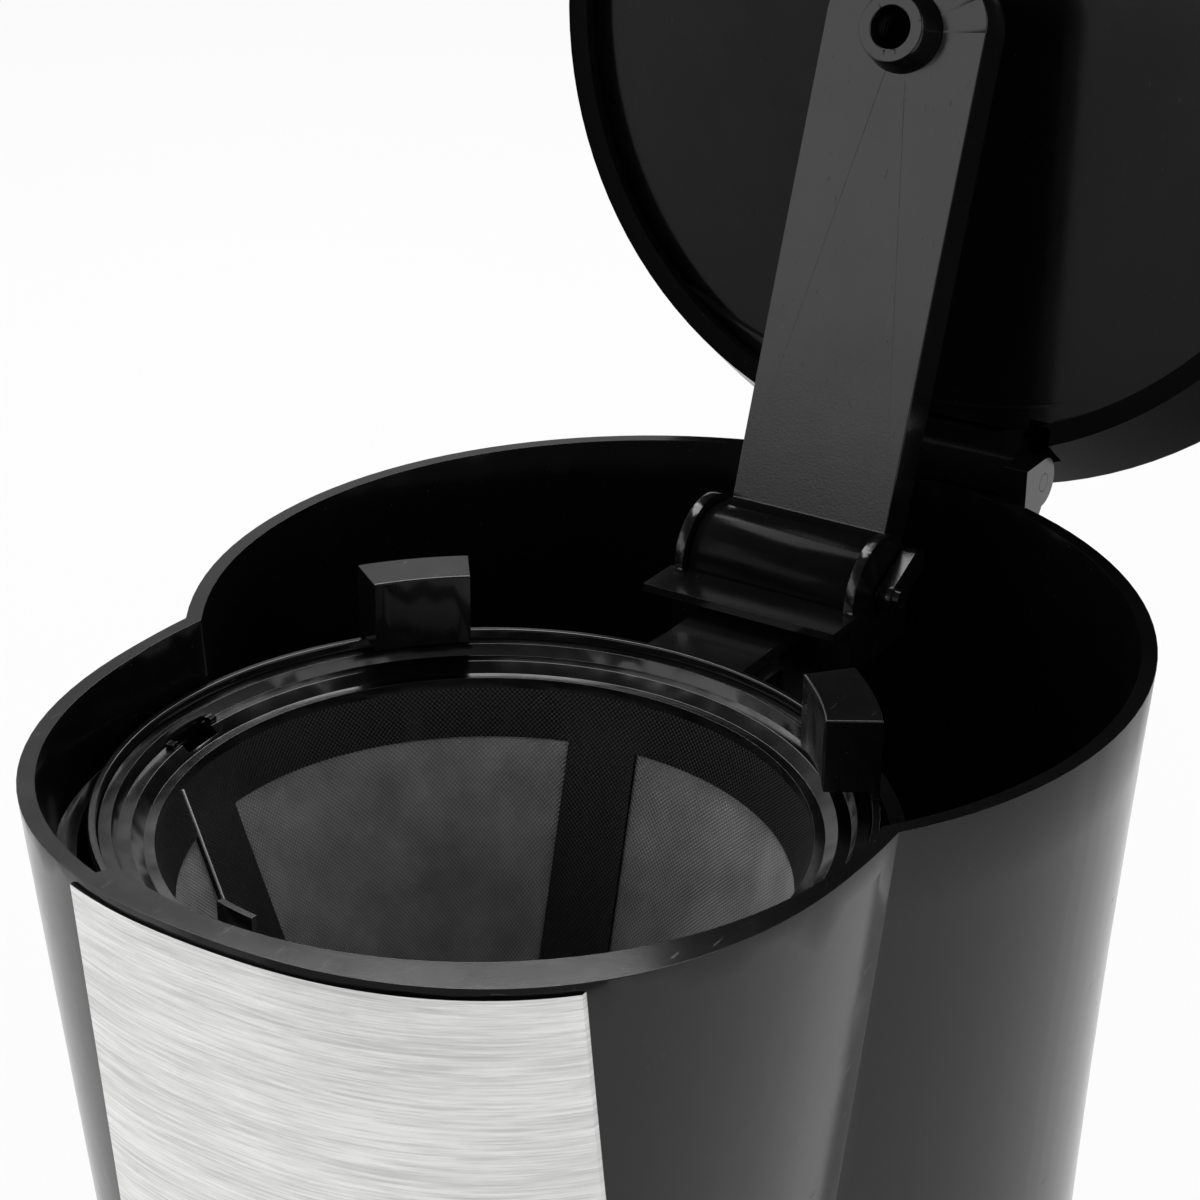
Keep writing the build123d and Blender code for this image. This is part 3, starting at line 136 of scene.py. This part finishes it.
# Node helpers
class Nodes:
    """Short way to add and link shader nodes of one material."""

    def __init__(self, tree):
        self.tree = tree

    def add(self, kind, **values):
        node = self.tree.nodes.new(kind)
        for key, value in values.items():
            setattr(node, key, value)
        return node

    def link(self, start, end):
        self.tree.links.new(start, end)

    def position(self, scale=(1, 1, 1), place=(0, 0, 0)):
        """Object coordinates in metres, moved and scaled."""
        coords = self.add("ShaderNodeTexCoord")
        mapping = self.add("ShaderNodeMapping")
        mapping.inputs["Location"].default_value = place
        mapping.inputs["Scale"].default_value = scale
        self.link(coords.outputs["Object"], mapping.inputs["Vector"])
        return mapping.outputs["Vector"]

    def axes(self, kind):
        """X, Y and Z of one kind of texture coordinates."""
        split = self.add("ShaderNodeSeparateXYZ")
        self.link(self.add("ShaderNodeTexCoord").outputs[kind], split.inputs["Vector"])
        return split.outputs["X"], split.outputs["Y"], split.outputs["Z"]

    def mix(self, share, first, second):
        """Colour that goes from the first to the second, which may be a plain colour."""
        node = self.add("ShaderNodeMix", data_type="RGBA")
        self.link(share, node.inputs["Factor"])
        self.link(first, node.inputs["A"])
        if isinstance(second, tuple):
            node.inputs["B"].default_value = second
        else:
            self.link(second, node.inputs["B"])
        return node.outputs["Result"]

    def noise(self, vector, scale, detail=3.0, rough=0.55):
        node = self.add("ShaderNodeTexNoise")
        node.inputs["Scale"].default_value = scale
        node.inputs["Detail"].default_value = detail
        node.inputs["Roughness"].default_value = rough
        self.link(vector, node.inputs["Vector"])
        return node.outputs["Fac"]

    def ramp(self, value, stops):
        """Grey or colour ramp over (place, value) stops."""
        node = self.add("ShaderNodeValToRGB")
        while len(node.color_ramp.elements) < len(stops):
            node.color_ramp.elements.new(0.5)
        for element, (place, colour) in zip(node.color_ramp.elements, stops):
            element.position = place
            element.color = colour if isinstance(colour, tuple) else (colour, colour, colour, 1)
        self.link(value, node.inputs["Fac"])
        return node.outputs["Color"]

    def math(self, kind, first, second=None):
        node = self.add("ShaderNodeMath", operation=kind)
        for socket, value in zip(node.inputs, (first, second)):
            if value is None:
                continue
            if isinstance(value, (int, float)):
                socket.default_value = value
            else:
                self.link(value, socket)
        return node.outputs["Value"]

    def bump(self, height, strength, distance):
        node = self.add("ShaderNodeBump")
        node.inputs["Strength"].default_value = strength
        node.inputs["Distance"].default_value = distance
        self.link(height, node.inputs["Height"])
        return node.outputs["Normal"]


def new_material(name):
    """Empty material with one shader on its output."""
    material = bpy.data.materials.new(name)
    material.use_nodes = True
    material.node_tree.nodes.clear()
    nodes = Nodes(material.node_tree)
    shader = nodes.add("ShaderNodeBsdfPrincipled")
    output = nodes.add("ShaderNodeOutputMaterial")
    nodes.link(shader.outputs["BSDF"], output.inputs["Surface"])
    return material, nodes, shader


def set_shine(material, nodes, shine):
    """Let a value over the surface set how strongly the material mirrors."""
    shader = next(n for n in material.node_tree.nodes if n.type == "BSDF_PRINCIPLED")
    nodes.link(shine, shader.inputs["Specular IOR Level"])


def grey(value, tint=(1, 1, 1)):
    return (value * tint[0], value * tint[1], value * tint[2], 1)


def plastic(name, tone, rough, grain, grain_scale, tint=(1, 1, 1.03), shine=0.5):
    """Moulded plastic: faint cloudiness, uneven polish, fine grain, paler rubbed edges and a few specks."""
    material, nodes, shader = new_material(name)
    place = nodes.position()
    cloud = nodes.noise(place, 45, 4)
    rubbed = nodes.add("ShaderNodeNewGeometry").outputs["Pointiness"]
    edge = nodes.ramp(rubbed, [(0.0, 0.0), (0.52, 0.0), (0.62, 1.0)])
    base = nodes.ramp(cloud, [(0.3, grey(tone * 0.82, tint)), (0.7, grey(tone * 1.2, tint))])
    worn = nodes.mix(nodes.math("MULTIPLY", edge, EDGE_WEAR), base, grey(tone * 3.0 + 0.006, tint))
    specks = nodes.ramp(nodes.noise(place, SPECK_SCALE, 1), [(0.76, 0.0), (0.8, 0.5)])
    nodes.link(nodes.mix(specks, worn, grey(tone + SPECK_TONE)), shader.inputs["Base Color"])
    smear = nodes.noise(place, 70, 5, 0.65)
    polish = nodes.ramp(smear, [(0.25, rough * 0.8), (0.75, min(1.0, rough * 1.25))])
    lines = nodes.noise(nodes.position(scale=HAIR_SCALE), 1.0, 2)
    hairs = nodes.ramp(lines, [(0.68, 0.0), (0.74, 0.12)])
    nodes.link(nodes.math("ADD", polish, hairs), shader.inputs["Roughness"])
    shader.inputs["Specular IOR Level"].default_value = shine
    fine = nodes.noise(place, grain_scale, 2)
    nodes.link(nodes.bump(fine, grain, GRAIN_HEIGHT), shader.inputs["Normal"])
    return material


def arm_plastic(name, tone, rough):
    """Satin plastic of the water arm; on the drum that it turns on, painted shade: its mirroring is cut
    almost to nothing so that it stays dark like a hollow in shadow.
    """
    material = plastic(name, tone, rough, 0.06, 2200)
    nodes = Nodes(material.node_tree)
    _, y, z = nodes.axes("Object")
    depth = nodes.math("SUBTRACT", y, ARM_Y * MM)
    height = nodes.math("SUBTRACT", z, ARM_Z * MM)
    squares = [nodes.math("MULTIPLY", side, side) for side in (depth, height)]
    reach = nodes.math("SQRT", nodes.math("ADD", *squares))
    share = nodes.math("MULTIPLY", reach, HALF / (DRUM_R * MM))
    # Painted shade on the drum: mirroring falls from 0.5 to 0.05 inside the drum's radius.
    set_shine(material, nodes, nodes.ramp(share, [(0.51, 0.05), (0.55, 0.5)]))
    return material


def lid_plastic(name, tone, rough):
    """Glossy crown above a side wall with painted shade, its mirroring cut almost to nothing so that it stays
    dark; height is measured square to the lid, which stands open.
    """
    material = plastic(name, tone, rough, 0.05, 1400)
    nodes = Nodes(material.node_tree)
    _, y, z = nodes.axes("Object")
    turn = radians(LID_OPEN)
    depth = nodes.math("MULTIPLY", nodes.math("SUBTRACT", y, HINGE_Y * MM), sin(turn))
    rise = nodes.math("MULTIPLY", nodes.math("SUBTRACT", z, HINGE_Z * MM), cos(turn))
    height = nodes.math("MULTIPLY", nodes.math("ADD", depth, rise), HALF / (LID_WALL_H * MM))
    # Painted shade on the lid's side wall: below the crown it mirrors almost nothing.
    set_shine(material, nodes, nodes.ramp(height, [(0.48, 0.01), (0.52, 0.45)]))
    return material


def body_plastic(name, tone, rough):
    """Glossy outside; painted shade on the walls that face one of the two lobes' axes, where the mirroring is
    cut low so that the inside stays dark.
    """
    material = plastic(name, tone, rough, 0.02, 900)
    nodes = Nodes(material.node_tree)
    x, y, _ = nodes.axes("Object")
    facing_x, facing_y, _ = nodes.axes("Normal")
    front = nodes.math("LESS_THAN", y, LOBES_MEET * MM)
    axis = nodes.math("ADD", nodes.math("MULTIPLY", front, (BOWL_Y - REAR_Y) * MM), REAR_Y * MM)
    across = nodes.math("MULTIPLY", facing_x, x)
    along = nodes.math("MULTIPLY", facing_y, nodes.math("SUBTRACT", y, axis))
    outward = nodes.math("MULTIPLY", nodes.math("ADD", across, along), INSIDE_SCALE)
    # Painted shade inside the tank: walls facing a lobe's axis mirror at 0.07 instead of 0.5.
    set_shine(material, nodes, nodes.ramp(nodes.math("ADD", outward, HALF), [(0.2, 0.07), (0.45, 0.5)]))
    return material


def brushed(name, tone, rough, lines, along, tint=(1, 1, 1), contrast=0.5):
    """Metal with fine level brush lines, and painted shade that darkens the up-facing cut edges on top."""
    material, nodes, shader = new_material(name)
    shader.inputs["Metallic"].default_value = 1.0
    shader.inputs["Anisotropic"].default_value = 0.6
    tangent = nodes.add("ShaderNodeTangent", direction_type="RADIAL", axis="Z")
    nodes.link(tangent.outputs["Tangent"], shader.inputs["Tangent"])
    place = nodes.position(scale=(along, along, lines))
    fine = nodes.noise(place, 1.0, 4, 0.7)
    broad = nodes.noise(nodes.position(scale=(along * 0.35, along * 0.35, lines * 0.12)), 1.0, 3)
    mixed = nodes.math("ADD", nodes.math("MULTIPLY", fine, 0.75), nodes.math("MULTIPLY", broad, 0.25))
    low = tone * (1 - contrast * 0.4)
    high = min(1.0, tone * (1 + contrast * 0.35))
    face = nodes.ramp(mixed, [(0.4, grey(low, tint)), (0.58, grey(high, tint))])
    _, _, facing_up = nodes.axes("Normal")
    # Painted shade: faces that look up are painted dark, as the cut edge in shadow under the rim.
    painted_edge_shade = nodes.ramp(facing_up, [(0.5, 0.0), (0.75, 1.0)])
    nodes.link(nodes.mix(painted_edge_shade, face, grey(CUT_EDGE_SHADE_TONE)), shader.inputs["Base Color"])
    nodes.link(nodes.ramp(mixed, [(0.3, rough * 1.3), (0.7, rough * 0.75)]), shader.inputs["Roughness"])
    nodes.link(nodes.bump(fine, 0.25, 0.00006), shader.inputs["Normal"])
    return material


def plain_metal(name, tone, rough, tint=(1, 1, 1), scale=90):
    """Plated or cast metal with blotches and fine scratches."""
    material, nodes, shader = new_material(name)
    shader.inputs["Metallic"].default_value = 1.0
    place = nodes.position()
    blotch = nodes.noise(place, scale, 5, 0.6)
    stops = [(0.3, grey(tone * 0.8, tint)), (0.7, grey(tone, tint))]
    nodes.link(nodes.ramp(blotch, stops), shader.inputs["Base Color"])
    nodes.link(nodes.ramp(blotch, [(0.3, rough * 1.4), (0.7, rough)]), shader.inputs["Roughness"])
    scratch = nodes.noise(nodes.position(scale=SCRATCH_SCALE), 1.0, 3)
    nodes.link(nodes.bump(scratch, 0.12, 0.0001), shader.inputs["Normal"])
    return material


def soft_rubber(name, colour, rough, clear=0.0):
    """Rubber or silicone with a cloudy tone and a fine grain."""
    material, nodes, shader = new_material(name)
    place = nodes.position()
    cloud = nodes.noise(place, 60, 4)
    darker = tuple(c * 0.8 for c in colour[:3]) + (1,)
    nodes.link(nodes.ramp(cloud, [(0.3, darker), (0.7, colour)]), shader.inputs["Base Color"])
    nodes.link(nodes.ramp(cloud, [(0.3, rough), (0.7, min(1.0, rough * 1.2))]), shader.inputs["Roughness"])
    shader.inputs["Subsurface Weight"].default_value = clear
    shader.inputs["Subsurface Radius"].default_value = (0.003, 0.003, 0.003)
    nodes.link(nodes.bump(nodes.noise(place, 1800, 2), 0.25, 0.0001), shader.inputs["Normal"])
    return material


def weave(nodes, threads, rows):
    """Threads of a cloth on a cone about the bowl's axis: their relief, their crossings and the height."""
    x, y, z = nodes.axes("Object")
    turn = nodes.math("ARCTAN2", nodes.math("SUBTRACT", y, BOWL_Y * MM), x)
    warp = nodes.math("SINE", nodes.math("MULTIPLY", turn, threads / 2))
    weft = nodes.math("SINE", nodes.math("MULTIPLY", z, pi / (rows * MM)))
    thread = nodes.math("MAXIMUM", nodes.math("ABSOLUTE", warp), nodes.math("ABSOLUTE", weft))
    return thread, nodes.math("MULTIPLY", warp, weft), z


def woven(name, tone, threads, rows, open_share):
    """Nylon cloth with open holes."""
    material, nodes, shader = new_material(name)
    thread, cross, _ = weave(nodes, threads, rows)
    cloud = nodes.noise(nodes.position(), 120, 4)
    shade = nodes.math("ADD", nodes.math("MULTIPLY", cross, 0.18), nodes.math("MULTIPLY", cloud, 0.6))
    stops = [(0.1, grey(tone * 0.55)), (0.55, grey(tone * 1.25))]
    nodes.link(nodes.ramp(shade, stops), shader.inputs["Base Color"])
    shader.inputs["Metallic"].default_value = 0.35
    shader.inputs["Roughness"].default_value = 0.42
    hole = nodes.ramp(thread, [(open_share, 0.0), (open_share + 0.12, 1.0)])
    nodes.link(hole, shader.inputs["Alpha"])
    relief = nodes.math("MULTIPLY", thread, cross)
    nodes.link(nodes.bump(relief, 0.6, GRAIN_HEIGHT), shader.inputs["Normal"])
    return material


def clothed_plastic(name, tone, rough, cloth_tone, threads, rows):
    """Moulded rings above, and below them the same plastic with the cloth pressed into its face."""
    material, nodes, shader = new_material(name)
    thread, cross, height = weave(nodes, threads, rows)
    cloth = nodes.math("LESS_THAN", height, CONE_TOP * MM)
    place = nodes.position()
    cloud = nodes.noise(place, 90, 4)
    smooth = nodes.ramp(cloud, [(0.3, grey(tone * 0.8)), (0.7, grey(tone * 1.2))])
    shade = nodes.math("ADD", nodes.math("MULTIPLY", cross, 0.3), nodes.math("MULTIPLY", cloud, 0.7))
    rough_cloth = nodes.ramp(shade, [(0.1, grey(cloth_tone * 0.4)), (0.6, grey(cloth_tone * 1.3))])
    nodes.link(nodes.mix(cloth, smooth, rough_cloth), shader.inputs["Base Color"])
    polish = nodes.math("ADD", nodes.math("MULTIPLY", cloud, rough), nodes.math("MULTIPLY", cloth, 0.3))
    nodes.link(polish, shader.inputs["Roughness"])
    relief = nodes.math("MULTIPLY", nodes.math("MULTIPLY", thread, cross), cloth)
    nodes.link(nodes.bump(relief, 0.6, GRAIN_HEIGHT), shader.inputs["Normal"])
    return material


def glass(name):
    """Clear glass with a thin uneven film."""
    material, nodes, shader = new_material(name)
    shader.inputs["Base Color"].default_value = (0.96, 0.985, 0.98, 1)
    shader.inputs["Transmission Weight"].default_value = 1.0
    shader.inputs["IOR"].default_value = 1.47
    place = nodes.position()
    film = nodes.noise(place, 30, 4)
    nodes.link(nodes.ramp(film, [(0.4, 0.0), (0.8, 0.05)]), shader.inputs["Roughness"])
    nodes.link(nodes.bump(nodes.noise(place, 25, 2), 0.06, 0.001), shader.inputs["Normal"])
    return material


def lens_red(name):
    """Red lens with a mottled tone."""
    material, nodes, shader = new_material(name)
    place = nodes.position()
    mottle = nodes.noise(place, 700, 2)
    nodes.link(nodes.ramp(mottle, [(0.3, LENS_DARK), (0.7, LENS_BRIGHT)]), shader.inputs["Base Color"])
    shader.inputs["Roughness"].default_value = 0.18
    shader.inputs["Transmission Weight"].default_value = 0.25
    nodes.link(nodes.bump(mottle, 0.2, GRAIN_HEIGHT), shader.inputs["Normal"])
    return material


MATERIALS = {
    "gloss_black": plastic("gloss_black", 0.0038, 0.13, 0.02, 900),
    "satin_black": plastic("satin_black", 0.0045, 0.17, 0.06, 2200),
    "matte_black": plastic("matte_black", 0.014, 0.5, 0.3, 2600),
    "brushed_steel": brushed("brushed_steel", 0.97, 0.33, 2000, 65, (1, 1, 0.99), 0.55),
    "polished_steel": plain_metal("polished_steel", 0.72, 0.09),
    "zinc_steel": plain_metal("zinc_steel", 0.55, 0.28, (0.98, 1.0, 1.02)),
    "plate_coating": plastic("plate_coating", 0.012, 0.36, 0.25, 3200, (1, 1, 1)),
    "aluminium": plain_metal("aluminium", 0.72, 0.38, (1, 1, 1.01), 140),
    "woven_mesh": woven("woven_mesh", 0.42, 760, 0.42, 0.42),
    "rubber": soft_rubber("rubber", (0.018, 0.018, 0.018, 1), 0.7),
    "silicone": soft_rubber("silicone", (0.66, 0.66, 0.62, 1), 0.45, 0.3),
    "lamp_red": lens_red("lamp_red"),
    "clear_glass": glass("clear_glass"),
}
# Finishes of single solids, where the slot's own is too plain; those of the body, lid and arm also paint
# shade by mirroring less in places
OWN_FINISH_AND_SHADE = {
    "filter_frame": clothed_plastic("filter_plastic", 0.004, 0.34, 0.012, 760, 0.42),
    "filter_basket": plastic("basket_plastic", 0.004, 0.17, 0.05, 1500),
    "body_shell": body_plastic("body_plastic", 0.0038, 0.13),
    "lid_shell": lid_plastic("lid_plastic", 0.0038, 0.17),
    "arm_channel": arm_plastic("arm_plastic", 0.0045, 0.17),
}
PRINT = plastic("print_white", 0.55, 0.4, 0.1, 1500, (1, 1, 1))
# The filter rib's seam is pale grey: a painted highlight, the light that the seam's edge catches.
SEAM_HIGHLIGHT = plastic("seam_highlight_plastic", 0.5, 0.3, 0.2, 1500)

# Printed marks and moulding seams, millimetres and degrees
BAR_POINTS = 9
RING_POINTS = 40
FILL_POINTS = 15
SEAM_POINTS = 12
LID_SEAM_POINTS = 41
MARK_UP = 3.6
MARK_R = 1.9
MARK_W = 0.6
MARK_LIFT = (-0.3, 0.08)
FILL_LINES = 6
FILL_FIRST = 78.0
FILL_STEP = 9.0
FILL_W = 0.8
FILL_ANGLE = -48.0
FILL_LONG = 18.0
FILL_SHORT = 10.0
FILL_LIFT = (0.06, 0.16)
SEAM_ANGLE = 190.0
SEAM_AT = 6.2
SEAM_W = 0.45
SEAM_LOW = 236.0
SEAM_HIGH = 287.3
SEAM_LIFT = (-0.2, 0.3)
LID_SEAM_LEFT = -54.0
LID_SEAM_RIGHT = 54.0
LID_SEAM_START = 0.05
LID_SEAM_W = 0.7
LID_SEAM_LIFT = (-0.2, 0.35)

SLOT_OF = {part["node"]: part["material_slot"] for part in frame["record"]["subparts"]}

# Edge rounding of the solids, millimetres
ROUND = {
    "body_shell": 0.7, "filter_basket": 0.35, "filter_frame": 0.3, "arm_bracket": 0.5,
    "arm_channel": 0.5, "base_shell": 0.6, "jug_handle": 0.3,
}
ROUND_SMALL = 0.25
ROUND_FROM = 32.0
WELD_REACH = 0.01
# Solids with broad smooth faces that keep their own edges, because rounding would bend their mirror image
FLAT = ("lid_liner", "front_panel", "lid_shell", "column_shell")


def dress(name, node):
    """Give a solid its material and softly rounded edges."""
    node.data.materials.clear()
    node.data.materials.append(OWN_FINISH_AND_SHADE.get(name, MATERIALS[SLOT_OF[name]]))
    if name in FLAT:
        return
    weld = node.modifiers.new("weld", "WELD")
    weld.merge_threshold = WELD_REACH * MM
    bevel = node.modifiers.new("round", "BEVEL")
    bevel.width = ROUND.get(name, ROUND_SMALL) * MM
    bevel.segments = 2
    bevel.limit_method = "ANGLE"
    bevel.angle_limit = radians(ROUND_FROM)
    bevel.use_clamp_overlap = True
    bevel.harden_normals = True


def strip(name, left, right, closed, surface, lifts, material, body):
    """Raised strip between two lines on a curved surface; surface turns a point and a lift into a place."""
    low, high = lifts
    shape = bmesh.new()
    rails = []
    for line, lift in ((left, low), (left, high), (right, high), (right, low)):
        rails.append([shape.verts.new(surface(point, lift)) for point in line])
    count = len(left)
    for i in range(count if closed else count - 1):
        j = (i + 1) % count
        for a in range(3):
            shape.faces.new((rails[a][i], rails[a][j], rails[a + 1][j], rails[a + 1][i]))
    if not closed:
        for end in (0, count - 1):
            shape.faces.new([rail[end] for rail in rails])
    bmesh.ops.recalc_face_normals(shape, faces=shape.faces)
    mesh = bpy.data.meshes.new(name)
    shape.to_mesh(mesh)
    shape.free()
    mesh.materials.append(material)
    piece = bpy.data.objects.new(name, mesh)
    scene.collection.objects.link(piece)
    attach(piece, body)


def on_key(point, lift):
    """Place on the rocker's round front: across, and along the round from the middle."""
    across, along = point
    turn = along / KEY_R
    radius = KEY_R + lift
    return mm(across, SWITCH_Y - radius * cos(turn), SWITCH_Z + radius * sin(turn))


def on_jug(point, lift):
    """Place on the jug's outside: angle about its axis, and height."""
    angle, height = point
    for (z0, r0), (z1, r1) in zip(JUG_SIDE, JUG_SIDE[1:]):
        if z0 <= height <= z1:
            radius = r0 + (r1 - r0) * (height - z0) / (z1 - z0) + lift
    return mm(radius * cos(radians(angle)), BOWL_Y + radius * sin(radians(angle)), height)


def on_rib(point, lift):
    """Place on the inside of the filter's left rib: across the rib, and height."""
    across, height = point
    share = (height - CONE_FLOOR) / (CONE_TOP - CONE_FLOOR)
    radius = CONE_FLOOR_R + (CONE_TOP_R - CONE_FLOOR_R) * share - lift
    turn = radians(SEAM_ANGLE)
    out = (radius ** 2 - across ** 2) ** 0.5
    return mm(out * cos(turn) - across * sin(turn), BOWL_Y + out * sin(turn) + across * cos(turn), height)


def on_lid(point, lift):
    """Place on the open lid's inner face: across, and distance out from the middle of the land's edge."""
    across, out = point
    radius = LAND_R + out
    along = LAND_BACK - LAND_R + (radius ** 2 - across ** 2) ** 0.5 - HINGE_Y
    height = LID_FACE - lift
    turn = radians(LID_OPEN)
    depth = HINGE_Y + along * cos(turn) + height * sin(turn)
    return mm(across, depth, HINGE_Z - along * sin(turn) + height * cos(turn))


def spread(start, end, count):
    """Evenly spaced values from start to end."""
    return [start + (end - start) * i / (count - 1) for i in range(count)]


def marks():
    """Bar and ring on the rocker, fill lines on the jug, a seam on the filter's rib with a painted highlight
    in its pale colour, and a seam inside the lid.
    """
    bar = spread(MARK_UP - MARK_R, MARK_UP + MARK_R, BAR_POINTS)
    left, right = [[(side * MARK_W / 2, s) for s in bar] for side in (-1, 1)]
    strip("mark_bar", left, right, False, on_key, MARK_LIFT, PRINT, "rocker")
    rings = []
    for radius in (MARK_R, MARK_R - MARK_W):
        turns = [2 * pi * i / RING_POINTS for i in range(RING_POINTS)]
        rings.append([(radius * cos(t), -MARK_UP + radius * sin(t)) for t in turns])
    strip("mark_ring", rings[0], rings[1], True, on_key, MARK_LIFT, PRINT, "rocker")
    for i in range(FILL_LINES):
        height = FILL_FIRST + i * FILL_STEP
        sweep = FILL_LONG if i % 2 else FILL_SHORT
        angles = spread(FILL_ANGLE, FILL_ANGLE + sweep, FILL_POINTS)
        low, high = [[(a, height + side * FILL_W / 2) for a in angles] for side in (-1, 1)]
        strip(f"fill_line_{i}", low, high, False, on_jug, FILL_LIFT, PRINT, "jug")
    heights = spread(SEAM_LOW, SEAM_HIGH, SEAM_POINTS)
    left, right = [[(SEAM_AT + side * SEAM_W / 2, z) for z in heights] for side in (-1, 1)]
    strip("filter_seam_highlight", left, right, False, on_rib, SEAM_LIFT, SEAM_HIGHLIGHT, "machine")
    places = spread(LID_SEAM_LEFT, LID_SEAM_RIGHT, LID_SEAM_POINTS)
    inner, outer = [[(x, out) for x in places] for out in (LID_SEAM_START, LID_SEAM_W)]
    strip("lid_seam", inner, outer, False, on_lid, LID_SEAM_LIFT, MATERIALS["satin_black"], "lid")


def white_for_viewer(nodes, glossy):
    """Share of plain white that the camera, glass and, partly, reflections see."""
    seen = nodes.add("ShaderNodeLightPath")
    direct = nodes.math("MAXIMUM", seen.outputs["Is Camera Ray"], seen.outputs["Is Transmission Ray"])
    return nodes.math("MAXIMUM", direct, nodes.math("MULTIPLY", seen.outputs["Is Glossy Ray"], glossy))


def floor():
    """Pale floor that ends in front of the machine and catches its shadow."""
    mesh = bpy.data.meshes.new("floor")
    sweep = bmesh.new()
    sweep.faces.new([sweep.verts.new((x, y, FLOOR_Z)) for x, y in FLOOR_OUTLINE])
    sweep.to_mesh(mesh)
    sweep.free()
    plane = bpy.data.objects.new("floor", mesh)
    scene.collection.objects.link(plane)
    material, nodes, shader = new_material("floor")
    tone = nodes.ramp(nodes.noise(nodes.position(), 6, 3), [(0.3, grey(0.86)), (0.7, grey(0.88))])
    nodes.link(tone, shader.inputs["Base Color"])
    shader.inputs["Roughness"].default_value = 0.8
    glow = nodes.add("ShaderNodeEmission")
    mix = nodes.add("ShaderNodeMixShader")
    share = nodes.math("MULTIPLY", white_for_viewer(nodes, FLOOR_GLOSS), FLOOR_WHITE)
    nodes.link(share, mix.inputs["Fac"])
    nodes.link(shader.outputs["BSDF"], mix.inputs[1])
    nodes.link(glow.outputs["Emission"], mix.inputs[2])
    output = next(n for n in material.node_tree.nodes if n.type == "OUTPUT_MATERIAL")
    nodes.link(mix.outputs["Shader"], output.inputs["Surface"])
    mesh.materials.append(material)


def room():
    """White background, bright round the horizon and dim overhead and on the viewer's side."""
    world = bpy.data.worlds.new("room")
    world.use_nodes = True
    world.node_tree.nodes.clear()
    nodes = Nodes(world.node_tree)
    _, _, up = nodes.axes("Generated")
    height = nodes.math("ADD", nodes.math("MULTIPLY", up, HALF), HALF)
    facing = nodes.add("ShaderNodeVectorMath", operation="DOT_PRODUCT")
    nodes.link(nodes.add("ShaderNodeTexCoord").outputs["Generated"], facing.inputs[0])
    facing.inputs[1].default_value = (sin(radians(VIEW_TURN)), -cos(radians(VIEW_TURN)), 0)
    front = nodes.ramp(facing.outputs["Value"], FRONT_SHARE)
    walls = nodes.mix(front, nodes.ramp(height, ROOM_SIDES), nodes.ramp(height, ROOM_FRONT))
    shell = nodes.add("ShaderNodeBackground")
    nodes.link(nodes.mix(white_for_viewer(nodes, 0.0), walls, grey(1.0)), shell.inputs["Color"])
    output = nodes.add("ShaderNodeOutputWorld")
    nodes.link(shell.outputs["Background"], output.inputs["Surface"])
    scene.world = world


def lamps():
    """Soft rectangular lamps, each aimed at a place on the machine."""
    for name, place, aim, size, power in LAMPS:
        data = bpy.data.lights.new(name, "AREA")
        data.shape = "RECTANGLE"
        data.size, data.size_y = size
        data.energy = power
        lamp = bpy.data.objects.new(name, data)
        scene.collection.objects.link(lamp)
        lamp.location = place
        lamp.rotation_euler = (Vector(aim) - Vector(place)).to_track_quat("-Z", "Y").to_euler()


place_camera()
floor()
room()
lamps()
for node_name, node_object in NODES.items():
    dress(node_name, node_object)
marks()

bpy.context.view_layer.update()
